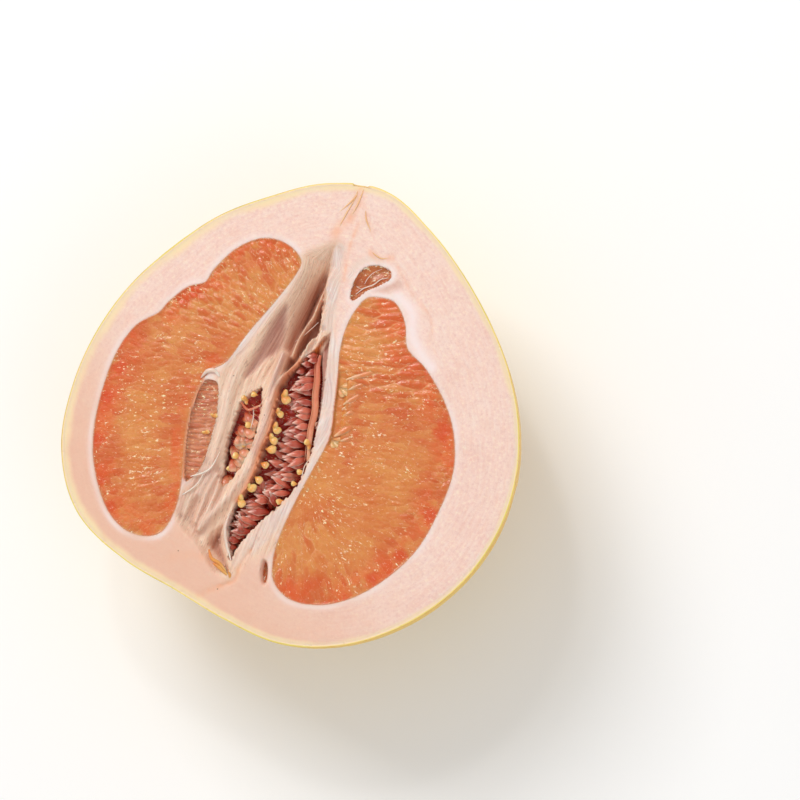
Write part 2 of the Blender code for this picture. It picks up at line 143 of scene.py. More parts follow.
FOLDS = [
    [(-24, -31), (-27.5, -37), (-30.6, -44)],
    [(-22.6, -32), (-25.8, -40), (-26.6, -49)],
    [(-20.6, -33), (-21.6, -41), (-21.6, -51)],
    [(-18.6, -35), (-18.8, -43), (-19.6, -53)],
]

# %% [markdown]
# ## Drawing tools
#
# Each surface below is a bmesh grid or a spun profile whose points are moved by a few simple
# fields: how far a point lies inside an outline, where it lies along a line, and soft random
# hills. Working on whole arrays of points keeps that quick.

# %% Smooth lines
def curve_through(points, count, closed=True):
    """Points of a smooth curve through the given ones."""
    given = np.array(points, float)
    last = len(given) if closed else len(given) - 1
    place = np.linspace(0, last, count, endpoint=not closed)
    start = np.minimum(place.astype(int), last - 1)
    t = (place - start)[:, None]
    pick = (lambda k: given[(start + k) % len(given)]) if closed else (
        lambda k: given[np.clip(start + k, 0, last)]
    )
    a, b, c, d = pick(-1), pick(0), pick(1), pick(2)
    bend = (2 * a - 5 * b + 4 * c - d) * t**2 + (3 * b - 3 * c + d - a) * t**3
    return b + 0.5 * ((c - a) * t + bend)


def on_rim(place):
    """The rim's radius at places counted in steps of 15 degrees."""
    start = np.floor(place).astype(int)
    t = place - start
    a, b, c, d = (RIM_RADII[(start + k) % 24] for k in (-1, 0, 1, 2))
    bend = (2 * a - 5 * b + 4 * c - d) * t**2 + (3 * b - 3 * c + d - a) * t**3
    return b + 0.5 * ((c - a) * t + bend)


# %% Where a point lies
def nearest(points, line, closed=False):
    """For each point: the distance to a line, the side it is on and how far along it is."""
    ends = np.roll(line, -1, axis=0) if closed else line[1:]
    starts = line if closed else line[:-1]
    way = ends - starts
    long = np.maximum((way**2).sum(1), 1e-12)
    walked = np.concatenate([[0], np.cumsum(np.sqrt(long))])
    distance = np.empty(len(points))
    side = np.empty(len(points))
    along = np.empty(len(points))
    for rows in np.array_split(np.arange(len(points)), max(1, len(points) * len(way) // 2000000)):
        off = points[rows, None, :] - starts[None]
        t = np.clip((off * way).sum(2) / long, 0, 1)
        left = off - t[..., None] * way
        gap = (left**2).sum(2)
        best = gap.argmin(1)
        pick = np.arange(len(rows))
        distance[rows] = np.sqrt(gap[pick, best])
        cross = way[best, 0] * off[pick, best, 1] - way[best, 1] * off[pick, best, 0]
        side[rows] = np.sign(cross)
        along[rows] = walked[best] + t[pick, best] * np.sqrt(long[best])
    return distance, side, along / walked[-1]


def depth_inside(points, outline, reach=6.0):
    """How far each point lies inside an outline, in millimetres, negative outside it."""
    line = curve_through(outline, len(outline) * 6)
    depth = np.full(len(points), -reach)
    low, high = line.min(0) - reach, line.max(0) + reach
    near = np.flatnonzero(((points > low) & (points < high)).all(1))
    if len(near) == 0:
        return depth
    p = points[near]
    distance = nearest(p, line, closed=True)[0]
    inside = np.zeros(len(p), bool)
    for a, b in zip(line, np.roll(line, -1, axis=0)):
        between = (a[1] > p[:, 1]) != (b[1] > p[:, 1])
        if a[1] != b[1]:
            crossing = a[0] + (b[0] - a[0]) * (p[:, 1] - a[1]) / (b[1] - a[1])
            inside ^= between & (p[:, 0] < crossing)
    depth[near] = np.where(inside, distance, np.maximum(-distance, -reach))
    return depth


# %% Soft steps and random hills
def ease(value, low, high):
    """0 below low, 1 above high and a smooth step between."""
    t = np.clip((value - low) / (high - low), 0, 1)
    return t * t * (3 - 2 * t)


def hills(x, y, size, seed):
    """Smooth random heights from -1 to 1, with hills about as wide as size."""
    table = np.random.default_rng(seed).uniform(-1, 1, (97, 97))
    u, v = np.asarray(x) / size + 500.37, np.asarray(y) / size + 500.71
    i, j = np.floor(u).astype(int), np.floor(v).astype(int)
    s, t = ease(u - i, 0, 1), ease(v - j, 0, 1)
    low = table[i % 97, j % 97] * (1 - s) + table[(i + 1) % 97, j % 97] * s
    high = table[i % 97, (j + 1) % 97] * (1 - s) + table[(i + 1) % 97, (j + 1) % 97] * s
    return low * (1 - t) + high * t


def rough_hills(x, y, size, seed, layers=3):
    """Hills with smaller hills on them."""
    return sum(hills(x, y, size / 2**k, seed + k) / 2**k for k in range(layers)) / 1.6


# %% Pieces and their places
def points_of(bm):
    """All points of a bmesh as an array, in millimetres."""
    return np.array([vert.co[:] for vert in bm.verts]) / MM


def move_points(bm, points):
    """Puts a bmesh's points where an array in millimetres says."""
    for vert, point in zip(bm.verts, points * MM):
        vert.co = point


def make_piece(name, bm, material, stands_for=(), marks=None, crease=0):
    """Makes a bmesh into a piece of the fruit, with its marks stored point by point."""
    mesh = bpy.data.meshes.new(name)
    bm.to_mesh(mesh)
    bm.free()
    for mark, values in (marks or {}).items():
        values = np.asarray(values, dtype=np.float32)
        kind = "FLOAT_VECTOR" if values.ndim == 2 else "FLOAT"
        layer = mesh.attributes.new(mark, kind, "POINT")
        layer.data.foreach_set("vector" if values.ndim == 2 else "value", values.ravel())
    mesh.shade_smooth()
    if crease:
        mesh.set_sharp_from_angle(angle=math.radians(crease))
    mesh.materials.append(material)
    piece = bpy.data.objects.new(name, mesh)
    bpy.context.scene.collection.objects.link(piece)
    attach(piece, "root")
    if stands_for:
        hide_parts(*stands_for)
    print(f"{name}: {len(mesh.polygons)} faces")
    return piece


# %% [markdown]
# ## Materials
#
# Colours are given as they look on a screen, from 0 to 255, and turned into the linear values
# that Blender's shaders work with. Each material is a Principled shader, fed by a few small
# groups that more than one finish shares: soft mottling, fine fibres and a wet film.

# %% Shader tools
def paint(red, green, blue):
    """A screen colour as linear red, green, blue and alpha."""
    return (*[((c / 255 + 0.055) / 1.055) ** 2.4 for c in (red, green, blue)], 1)


def put(tree, kind, inputs=None, **settings):
    """A new shader node with its settings, input values and incoming links."""
    node = tree.nodes.new(kind)
    for name, value in settings.items():
        setattr(node, name, value)
    for name, value in (inputs or {}).items():
        if isinstance(value, bpy.types.NodeSocket):
            tree.links.new(value, node.inputs[name])
        else:
            node.inputs[name].default_value = value
    return node


def mixed(tree, share, first, second, how="MIX"):
    """Two colours mixed by a share."""
    inputs = {0: share, 6: first, 7: second}
    return put(tree, "ShaderNodeMix", inputs, data_type="RGBA", blend_type=how).outputs[2]


def mark(tree, name):
    """A value stored on the piece's points."""
    return put(tree, "ShaderNodeAttribute", attribute_name=name).outputs["Fac"]


def between(tree, value, low, high, to_low=0.0, to_high=1.0):
    """A value's place between two limits, held inside them."""
    limits = {"From Min": low, "From Max": high, "To Min": to_low, "To Max": to_high}
    inputs = {"Value": value} | limits
    return put(tree, "ShaderNodeMapRange", inputs, interpolation_type="SMOOTHSTEP").outputs[0]


def times(tree, first, second):
    """Two values multiplied."""
    return put(tree, "ShaderNodeMath", {0: first, 1: second}, operation="MULTIPLY").outputs[0]


def plus(tree, first, second):
    """Two values added."""
    return put(tree, "ShaderNodeMath", {0: first, 1: second}, operation="ADD").outputs[0]


def place_on(tree):
    """The point's place on the piece, in metres."""
    return put(tree, "ShaderNodeTexCoord").outputs["Object"]


def noise(tree, place, scale, detail=3.0, rough=0.55):
    """Noise as a value from 0 to 1, so many times a metre."""
    inputs = {"Vector": place, "Scale": scale, "Detail": detail, "Roughness": rough}
    return put(tree, "ShaderNodeTexNoise", inputs).outputs["Fac"]


def new_material(name, roughness, **values):
    """An empty Principled material; values are its sockets by name, with _ for a space."""
    made = bpy.data.materials.new(name)
    made.use_nodes = True
    tree = made.node_tree
    shader = tree.nodes["Principled BSDF"]
    shader.inputs["Roughness"].default_value = roughness
    for socket, value in values.items():
        shader.inputs[socket.replace("_", " ")].default_value = value
    return made, tree, shader


def feed(tree, shader, **links):
    """Joins values to the shader's sockets by name."""
    for socket, value in links.items():
        tree.links.new(value, shader.inputs[socket.replace("_", " ")])


def bump(tree, height, strength, distance, below=None):
    """A bump of a height in metres, over another one where it is given."""
    inputs = {"Height": height, "Strength": strength, "Distance": distance}
    if below is not None:
        inputs["Normal"] = below
    return put(tree, "ShaderNodeBump", inputs).outputs[0]


# %% Shared effects
def new_group(name, inputs, outputs):
    """An empty shader group with named sockets."""
    group = bpy.data.node_groups.new(name, "ShaderNodeTree")
    for label, kind, value in inputs:
        socket = group.interface.new_socket(label, in_out="INPUT", socket_type=kind)
        if value is not None:
            socket.default_value = value
    for label, kind in outputs:
        group.interface.new_socket(label, in_out="OUTPUT", socket_type=kind)
    return group, group.nodes.new("NodeGroupInput"), group.nodes.new("NodeGroupOutput")


def make_mottle():
    """Soft patches in a colour: lighter and darker, at a coarse and at a fine size."""
    sockets = [
        ("Colour", "NodeSocketColor", None), ("Patches per metre", "NodeSocketFloat", 90.0),
        ("Light", "NodeSocketColor", (1, 1, 1, 1)), ("Dark", "NodeSocketColor", (0, 0, 0, 1)),
        ("Amount", "NodeSocketFloat", 0.5),
    ]
    group, given, made = new_group("mottle", sockets, [("Colour", "NodeSocketColor")])
    place = place_on(group)
    patches, amount = given.outputs["Patches per metre"], given.outputs["Amount"]
    coarse = noise(group, place, patches)
    fine = noise(group, place, times(group, patches, 6.0))
    light = times(group, between(group, coarse, 0.5, 0.72), amount)
    dark = times(group, between(group, coarse, 0.5, 0.3), amount)
    speck = times(group, between(group, fine, 0.55, 0.75), amount)
    colour = mixed(group, light, given.outputs["Colour"], given.outputs["Light"])
    colour = mixed(group, dark, colour, given.outputs["Dark"])
    colour = mixed(group, times(group, speck, 0.5), colour, given.outputs["Light"])
    group.links.new(colour, made.inputs["Colour"])
    return group


def make_wet_film():
    """The uneven film of juice on a cut surface, as a normal."""
    sockets = [
        ("Ripples per metre", "NodeSocketFloat", 900.0), ("Depth", "NodeSocketFloat", 0.0002),
        ("Strength", "NodeSocketFloat", 0.6), ("Normal", "NodeSocketVector", None),
    ]
    group, given, made = new_group("wet film", sockets, [("Normal", "NodeSocketVector")])
    place = place_on(group)
    swell = noise(group, place, given.outputs["Ripples per metre"], 2.0)
    strength, depth, below = (given.outputs[name] for name in ("Strength", "Depth", "Normal"))
    normal = bump(group, swell, strength, depth, below)
    group.links.new(normal, made.inputs["Normal"])
    return group


def use_group(tree, group, **inputs):
    """One use of a shared effect, with its own values."""
    node = tree.nodes.new("ShaderNodeGroup")
    node.node_tree = group
    for label, value in inputs.items():
        socket = node.inputs[label.replace("_", " ")]
        if isinstance(value, bpy.types.NodeSocket):
            tree.links.new(value, socket)
        else:
            socket.default_value = value
    return node.outputs[0]


MOTTLE = make_mottle()
WET_FILM = make_wet_film()

# %% [markdown]
# ## Camera, light and floor
#
# The picture looks down on the cut face, tipped 10 degrees so that a sliver of skin shows at the
# lower right, and rolled so that the stem leans right. A long lens keeps the face flat. The
# light is one broad soft source from the upper left, a smaller one that gives the wet flesh its
# glints, a weak fill from the right and a bright room all round.

# %% Camera
PICTURE_SCALE = 0.3455
PICTURE_ROLL = math.radians(20.7)
PICTURE_CENTRE = Vector((30.7, 12.8, FACE)) * MM
CAMERA_DISTANCE = 1.4
CAMERA_BEARING = math.radians(61)
CAMERA_HEIGHT = math.radians(80)


def aim(obj, spot, up=(0, 1, 0)):
    """Turns an object's -Z to a spot, with its Y as near to up as it can be."""
    back = (obj.location - Vector(spot)).normalized()
    side = Vector(up).cross(back).normalized()
    turn = Matrix((side, back.cross(side), back)).transposed()
    obj.rotation_euler = turn.to_euler()


back = Vector((
    math.sin(CAMERA_BEARING) * math.cos(CAMERA_HEIGHT),
    -math.cos(CAMERA_BEARING) * math.cos(CAMERA_HEIGHT),
    math.sin(CAMERA_HEIGHT),
))
lens = bpy.data.cameras.new("camera")
lens.sensor_width = 36
lens.lens = 36 * CAMERA_DISTANCE / (800 * PICTURE_SCALE * MM)
camera = bpy.data.objects.new("camera", lens)
camera.location = PICTURE_CENTRE + back * CAMERA_DISTANCE
aim(camera, PICTURE_CENTRE, up=(-math.sin(PICTURE_ROLL), math.cos(PICTURE_ROLL), 0))
bpy.context.scene.collection.objects.link(camera)
bpy.context.scene.camera = camera
print("lens", round(lens.lens, 1), "mm")


# %% Light and floor
def soft_box(name, way, distance, size, power):
    """A square area light that shines on the fruit from one way."""
    light = bpy.data.lights.new(name, "AREA")
    light.size = size
    light.energy = power
    lamp = bpy.data.objects.new(name, light)
    lamp.location = Vector(way).normalized() * distance + Vector((0, 0, 0.06))
    aim(lamp, (0, 0, 0.06))
    bpy.context.scene.collection.objects.link(lamp)


soft_box("key", (-0.75, 0.55, 0.95), 3.0, 1.3, 42)
soft_box("glint", (-0.42, 0.62, 1.3), 1.2, 0.10, 1.0)
soft_box("fill", (0.9, -0.4, 1.2), 2.4, 1.2, 4)

world = bpy.data.worlds.new("studio")
world.use_nodes = True
sky = world.node_tree.nodes["Background"]
sky.inputs["Color"].default_value = (1.0, 0.995, 0.985, 1)
sky.inputs["Strength"].default_value = 0.62
bpy.context.scene.world = world
bpy.context.scene.view_settings.view_transform = "Standard"

floor_material, tree, shader = new_material("studio floor", 0.9)
feed(tree, shader, Base_Color=use_group(
    tree, MOTTLE, Colour=paint(252, 252, 252), Patches_per_metre=3.0,
    Light=paint(253, 253, 253), Dark=paint(251, 251, 251), Amount=0.5,
))
bm = bmesh.new()
bmesh.ops.create_grid(bm, x_segments=1, y_segments=1, size=3)
mesh = bpy.data.meshes.new("floor")
bm.to_mesh(mesh)
bm.free()
mesh.materials.append(floor_material)
floor = bpy.data.objects.new("floor", mesh)
bpy.context.scene.collection.objects.link(floor)


# %% [markdown]
# ## Skin
#
# The skin is a bowl 1.6 mm thick, full of oil glands that show as tiny dimples. A profile spun
# about the upright axis gives the bowl's rings, and each ring is then pushed out to the fruit's
# own outline. Spinning keeps the rings even, which a sculpted lump would not.

# %% The fruit's form
RIM_TILT = math.pi / 2 + math.asin(WIDEST_BELOW_FACE / DOME_DEPTH)
SPOT_TILT = math.acos(1 - REST_SPOT_DEPTH / DOME_DEPTH)


def fruit_points(turn, tilt, inset):
    """Points of the fruit's outside, inset from it. Tilt 0 is straight down."""
    reach = on_rim(turn / math.tau * 24) - inset
    share = np.sin(tilt) / math.sin(RIM_TILT)
    out = np.stack([np.cos(turn), np.sin(turn)], 1) * (reach * share)[:, None]
    level = LOWEST_POINT[None] * (1 - share)[:, None] + out
    height = FACE - WIDEST_BELOW_FACE - (DOME_DEPTH - inset) * np.cos(tilt)
    return np.column_stack([level, np.maximum(height, inset)])


def spin_profile(profile, steps):
    """A closed surface spun about Z from a profile of (distance, height) pairs."""
    bm = bmesh.new()
    verts = [bm.verts.new((x, 0, z)) for x, z in profile]
    edges = [bm.edges.new(pair) for pair in zip(verts, verts[1:])]
    bmesh.ops.spin(
        bm, geom=verts + edges, cent=(0, 0, 0), axis=(0, 0, 1), angle=math.tau, steps=steps,
        use_merge=True,
    )
    bmesh.ops.remove_doubles(bm, verts=bm.verts, dist=1e-7)
    bmesh.ops.recalc_face_normals(bm, faces=bm.faces)
    return bm


# %% Skin shape
SKIN_STEPS = 420
SKIN_RINGS = 100
SKIN_ACROSS_RIM = 5
UNIT_SKIN = 0.02
STEM = (-8.5, 80.2)


def make_skin(material):
    """The yellow bowl, a little uneven, with a nick where the stem was."""
    tilts = np.linspace(0, RIM_TILT, SKIN_RINGS + 1)
    profile = [(math.sin(t), -math.cos(t)) for t in tilts]
    across = [1 - UNIT_SKIN * k / SKIN_ACROSS_RIM for k in range(1, SKIN_ACROSS_RIM + 1)]
    inner = across[-1]
    profile += [(r * math.sin(RIM_TILT), -r * math.cos(RIM_TILT)) for r in across]
    profile += [(inner * math.sin(t), -inner * math.cos(t)) for t in tilts[::-4][1:]]
    profile[0], profile[-1] = (0, -1), (0, -inner)
    bm = spin_profile(profile, SKIN_STEPS)
    unit = points_of(bm) * MM
    size = np.linalg.norm(unit, axis=1)
    turn = np.arctan2(unit[:, 1], unit[:, 0]) % math.tau
    tilt = np.arccos(np.clip(-unit[:, 2] / size, -1, 1))
    inset = (1 - size) / UNIT_SKIN * SKIN
    points = fruit_points(turn, tilt, inset)
    outside = ease(inset, 0.3, 0.0)
    swell = rough_hills(turn * 60, tilt * 60, 16, 3) * np.sin(tilt)
    pits = np.minimum(rough_hills(points[:, 0], points[:, 1] + points[:, 2], 2.4, 9), 0.1)
    away = ease(tilt, SPOT_TILT, SPOT_TILT + 0.3)
    middle = np.array([0, 0, FACE - 20])
    out = (points - middle) / np.linalg.norm(points - middle, axis=1)[:, None]
    out[points[:, 2] > FACE - 2] *= [1, 1, 0]
    points -= out * ((0.12 + 0.25 * (1 - swell) - 0.1 * pits) * outside * away)[:, None]
    on_cut = tilt > RIM_TILT - 1e-4
    points[on_cut, 2] = FACE - 0.15 * ease(inset[on_cut], 1.1, SKIN)
    from_stem = np.hypot(points[:, 0] - STEM[0], points[:, 1] - STEM[1])
    ragged = from_stem + 0.8 * hills(points[:, 0], points[:, 1], 0.9, 12)
    points[:, 1] -= 1.2 * ease(ragged, 3.0, 2.0) * ease(points[:, 2], FACE - 4, FACE - 0.5)
    points[:, 2] -= 0.7 * ease(ragged, 3.0, 1.2) * ease(points[:, 2], FACE - 4, FACE)
    move_points(bm, points)
    on_face = on_cut & (inset > 0.02)
    marks = {
        "cut": np.where(on_face, 0.15 + 0.85 * ease(inset, 0.2, 1.3), 0),
        "scar": ease(ragged, 3.6, 2.0) * ease(points[:, 2], FACE - 3.5, FACE - 1.5),
    }
    return make_piece("peel", bm, material, ["skin"], marks, crease=55)


# %% [markdown]
# The skin's colour is a warm yellow with greener and more orange patches. Its glands are a
# cell pattern: each is a small dimple with a slightly darker middle. At the cut the skin turns
# from yellow outside to cream and then pink inside.

# %% Skin finish
CREAM = paint(249, 220, 176)


def skin_material():
    made, tree, shader = new_material(
        "pomelo skin", 0.4, Coat_Weight=0.15, Coat_Roughness=0.35, Subsurface_Weight=0.12,
        Subsurface_Radius=(1.0, 0.5, 0.1), Subsurface_Scale=0.002,
    )
    place = place_on(tree)
    cut = mark(tree, "cut")
    colour = use_group(
        tree, MOTTLE, Colour=paint(244, 196, 66), Patches_per_metre=20.0,
        Light=paint(251, 212, 92), Dark=paint(238, 180, 58), Amount=0.7,
    )
    gland = put(tree, "ShaderNodeTexVoronoi", {"Vector": place, "Scale": 560.0, "Randomness": 1.0})
    pit = between(tree, gland.outputs["Distance"], 0.34, 0.08)
    some = between(tree, noise(tree, place, 240.0), 0.3, 0.7, 0.2, 0.75)
    colour = mixed(tree, times(tree, pit, some), colour, paint(216, 154, 40))
    green = between(tree, noise(tree, place, 14.0), 0.52, 0.72, 0.0, 0.5)
    colour = mixed(tree, green, colour, paint(232, 204, 74))
    greener = between(tree, noise(tree, place, 45.0), 0.4, 0.7)
    rind = mixed(tree, greener, paint(243, 216, 120), paint(222, 204, 74))
    edge = mixed(tree, between(tree, cut, 0.15, 0.8), rind, CREAM)
    edge = mixed(tree, between(tree, cut, 0.7, 1.0, 0.0, 0.6), edge, paint(244, 210, 194))
    colour = mixed(tree, between(tree, cut, 0.0, 0.14), colour, edge)
    colour = mixed(tree, mark(tree, "scar"), colour, paint(188, 124, 76))
    dimples = bump(tree, pit, 0.5, -0.00025)
    waves = bump(tree, noise(tree, place, 160.0), 0.35, 0.0006, dimples)
    feed(tree, shader, Base_Color=colour, Normal=waves)
    return made


skin = make_skin(skin_material())

# %% [markdown]
# ## Pith
#
# The pith is the spongy pink layer under the skin, and its torn core is the most broken-up part
# of the fruit: a pale wall slopes into a dark slit, folds fan out below it, and three openings
# show the sacs inside. All of that is one surface with a height at every point of the cut, so
# it is made as a spun disc whose cells are divided where the fruit is torn, and then pushed
# down. A bowl under the disc closes it inside the skin.

# %% Outlines and lines of the torn core
TORN = [
    (-12, 56.8), (-16.5, 53), (-20.2, 49), (-19.1, 44), (-19.9, 38), (-20.8, 33.4), (-23.8, 25.4),
    (-26, 17.7), (-28, 11.8), (-30.1, 8), (-32, 3), (-33, -2), (-31, -6), (-28.6, -14),
    (-27.4, -23), (-26.8, -31), (-29.3, -39), (-31, -46), (-27, -54), (-20, -57.5), (-15, -61),
    (-9, -65.5), (-3, -66), (1, -58), (7.6, -51.3), (7.8, -45.3), (7.9, -36.2), (8.7, -28.8),
    (10.1, -22.9), (10.9, -17.2), (11.5, -11), (10.5, -3.6), (8.8, 4.1), (6.4, 12.7), (4.3, 20.8),
    (1, 27), (-2, 37.1), (-4, 45.8), (-6.6, 56.5), (-10, 58),
]
WHITE_BAND = [
    (-9.8, 56), (-9.2, 48.9), (-7.6, 42.2), (-5.6, 34.8), (-4.4, 29.2), (-3.6, 26), (-0.5, 26.6),
    (1.1, 19.7), (2.9, 12.6), (4.6, 4.2), (6, -3.6), (7.3, -10.2), (8.6, -16.8), (8.5, -22.8),
    (7, -29.9), (4.3, -36.9), (-0.7, -44.9), (-4.2, -54.6), (-4.3, -60.6), (-1.5, -60),
    (1.5, -55), (5, -48), (7.6, -40), (8.2, -34), (8.7, -28.8), (10.1, -22.9), (10.9, -17.2),
    (11.5, -11), (10.5, -3.6), (8.8, 4.1), (6.4, 12.7), (4.3, 20.8), (1, 27), (-2, 37.1),
    (-4, 45.8), (-6.6, 56.5),
]
CURLED_EDGE = [(-11.3, -45.3), (-11, -49.3), (-8.9, -53.3), (-5.6, -58)]
CRESTS = [
    (STRAND_A, 2.5, -0.5), (STRAND_B, 1.8, -0.7),
    ([(-3.6, 26.5), (-5.4, 18.5), (-9, 11), (-12.4, 4), (-13.4, -2)], 1.1, -2.2),
    ([(-20.5, 44), (-21.6, 32), (-24.6, 22), (-28, 12), (-31, 5)], 1.2, -0.3),
    ([(-32.5, 0.5), (-30, -8.8), (-28.3, -16), (-27.3, -23), (-26.4, -31)], 0.8, -0.2),
    (CURLED_EDGE, 0.6, -1.0),
] + [(fold, 0.9, -0.8) for fold in FOLDS]
LEDGE = [
    (-1.4, 17.5), (-0.8, 23.8), (-0.2, 26.6), (0.5, 22.6), (3.6, 10.9), (6.3, -0.4), (7.5, -10),
    (7.9, -17), (6.4, -9.4), (4.7, -1.5), (1.4, 9.9),
]
SLIT_RIDGE = [(-8, 43.4), (-8.7, 38), (-9, 30.6), (-9.8, 27.2), (-11, 21.2), (-11.1, 14.7)]
CRACKS = [
    [(-10.8, -75), (-7.1, -70.6), (-1.3, -65.4), (-1.3, -60.6), (0.3, -54), (1.6, -49.4)],
    [(33.7, 36.1), (30, 43.7), (22, 48.8), (13.7, 56)],
]
STAINS = [
    ([(-8.4, 79.4), (-7.9, 68.9), (-10.1, 63.3), (-11.6, 59)], 1.7, 0.75),
    ([(-7.2, 79), (-5.9, 73.9), (-3.6, 70.1), (0.8, 64)], 0.7, 0.4),
    ([(-4, 67.8), (-5, 60.1), (-3.5, 49.5), (-2.5, 45.6)], 0.6, 0.6),
    ([(2.4, 57.7), (7.1, 56.5), (10.6, 58.7)], 0.9, 0.7),
    (CRACKS[1], 0.7, 0.35), (CRACKS[0][:5], 0.8, 0.7),
    ([(-25, -66), (-18, -62), (-12, -62)], 1.5, 0.3),
]

# %% Depths of the torn core
SLIT_TOP = -1.5
SLIT_DROP = 9
RIDGE_LEVEL = -5
RECESS_FLOOR = -7.5
LOCULE_FLOOR = -15
LEDGE_FLOOR = -4.2
WINDOW_FLOOR = -12
POCKET_FLOOR = -5
VEIL_FLOOR = -0.25
BRIM_DIP = 0.12


# %% Moulding heights
def wall_place(points):
    """How far across the torn wall each point lies: 0 at its left edge, 1 in the slit."""
    y_left, x_left = np.array(WALL_LEFT[::-1], float).T
    y_slit, x_slit = np.array(SLIT_BOTTOM[::-1], float).T
    left = np.interp(points[:, 1], y_left, x_left)
    right = np.interp(points[:, 1], y_slit, x_slit)
    return (points[:, 0] - left) / (right - left)


def near_line(points, line, width):
    """1 on a smooth line, falling softly to 0 a few widths away."""
    distance = nearest(points, curve_through(line, len(line) * 5, closed=False))[0]
    return np.exp(-(distance / width) ** 2)


def sink(heights, points, depth, floor, edge, ragged=0.0):
    """Sinks heights to a floor where depth says inside, over an edge so wide."""
    x, y = points.T
    torn = ragged * (hills(x, y, 0.8, 31) + 0.6 * hills(x, y, 2.4, 32))
    return heights + (floor - heights) * ease(depth + torn, 0, edge)


def flesh_depth(points):
    """How deep a segment's room is, which grows away from the core."""
    return 3.5 + 0.2 * np.abs(points[:, 0] + 8.5)


def torn_heights(points, inside):
    """Heights of the torn core, 0 at the cut."""
    x, y = points.T
    torn = ease(inside["torn"], -0.6, 2.4)
    across = wall_place(points)
    low = ease(y, 16, -6)
    steep = 11 * ease(y, 58, 36)
    wall = -steep * np.clip(across, 0, 1) ** 1.9
    folds = -2.8 * ease(across, 0.0, 0.35)
    heights = (wall * (1 - low) + folds * low) * ease(across, 1.4, 1.02) * torn
    heights += 0.3 * torn * rough_hills(across * 25, y / 12, 1.1, 41)
    for line, width, top in CRESTS:
        share = near_line(points, line, width)
        heights += (top - heights) * share * torn
    heights += 0.16 * torn * hills(across * 25, y / 9, 0.5, 47)
    heights -= 1.6 * ease(inside["mauve"], -0.5, 2.5)
    slit_floor = SLIT_TOP - SLIT_DROP * ease(y, 56, 41)
    heights = sink(heights, points, inside["slit"], slit_floor, 2.6, 0.35)
    ridge = near_line(points, SLIT_RIDGE, 1.0)
    heights += (RIDGE_LEVEL - heights) * ridge * (heights < RIDGE_LEVEL)
    heights = sink(heights, points, inside["recess"], RECESS_FLOOR, 3.4, 0.2)
    locule_floor = LOCULE_FLOOR + 12 * ease(y, 10, 22) + 7 * ease(y, -46, -56)
    heights = sink(heights, points, inside["locule"], locule_floor, 1.5, 0.5)
    heights = sink(heights, points, inside["ledge"], LEDGE_FLOOR, 0.9)
    return sink(heights, points, inside["window"], WINDOW_FLOOR, 1.4, 0.4)


def cut_heights(points, inside):
    """Heights of the whole cut face of the pith."""
    x, y = points.T
    heights = 0.10 * rough_hills(x, y, 7, 21) + 0.04 * hills(x, y, 1.2, 25)
    core = np.flatnonzero(inside["torn"] > -3)
    inside_core = {name: depth[core] for name, depth in inside.items()}
    heights[core] += torn_heights(points[core], inside_core)
    for line in CRACKS:
        heights -= 0.4 * near_line(points, line, 0.45)
    for name in ("left", "right"):
        depth = inside[name]
        heights *= ease(depth, 0.2, -2.5)
        heights -= BRIM_DIP * ease(depth, -0.1, 0.25)
        heights += (-flesh_depth(points) - heights) * ease(depth, 0.4, 1.2)
    for name in ("left pocket", "top pocket"):
        heights += (POCKET_FLOOR - heights) * ease(inside[name], 0.0, 0.5)
    heights = sink(heights, points, inside["veil"], VEIL_FLOOR, 3.0)
    return sink(heights, points, inside["hole"], POCKET_FLOOR, 1.5)


# %% Pith shape
PITH_STEPS = 340
FACE_RINGS = 84
BOWL_RINGS = 22
PITH_OVERLAP = 0.35
PALE_LINES = [
    ([(-1, 47.4), (0, 52.6), (4, 55.8), (6.5, 55.9)], 1.0),
    ([(-20.5, 46), (-21.8, 34), (-25, 22), (-28.6, 12), (-32, 4)], 1.2),
    (CURLED_EDGE, 0.7),
]
NECK_BAND = [(17, 46.5), (23.5, 43), (26.5, 36), (31, 31), (37, 27)]
SEAM = [(-36.8, -4), (-37.2, -13), (-36, -21.4), (-33.5, -30.6), (-30.8, -38)]
CORD_EDGE = LOCULE[22:] + LOCULE[:3]
OUTLINES = {
    "torn": TORN, "white": WHITE_BAND, "left": LEFT_FLESH, "right": RIGHT_FLESH,
    "left pocket": LEFT_POCKET, "top pocket": TOP_POCKET, "veil": TOP_VEIL, "hole": BOTTOM_HOLE,
    "mauve": MAUVE_WINDOW, "slit": SLIT, "locule": LOCULE, "ledge": LEDGE, "window": WINDOW,
    "recess": RECESS,
}
EDGES = ("left", "right", "left pocket", "top pocket", "hole", "veil")


def depths(points, names):
    """How far points lie inside several outlines."""
    return {name: depth_inside(points, OUTLINES[name]) for name in names}


def pith_finely(points):
    """Where the pith needs small cells: in the torn core and along every edge of the flesh."""
    inside = depths(points, ("torn",) + EDGES)
    edges = [(inside[name] > -1.8) & (inside[name] < 1.6) for name in EDGES]
    return np.any(edges, axis=0) | (inside["torn"] > -2)


def disc_place(spots):
    """Spots of the unit disc as points of the cut face."""
    share = np.hypot(spots[:, 0], spots[:, 1])
    turn = np.arctan2(spots[:, 1], spots[:, 0]) % math.tau
    reach = on_rim(turn / math.tau * 24) - SKIN + PITH_OVERLAP
    rim = reach[:, None] * np.stack([np.cos(turn), np.sin(turn)], 1)
    return CORE * (1 - share)[:, None] + rim * share[:, None]


def most(*masks):
    """The strongest of several masks at each point."""
    return np.max(masks, axis=0)


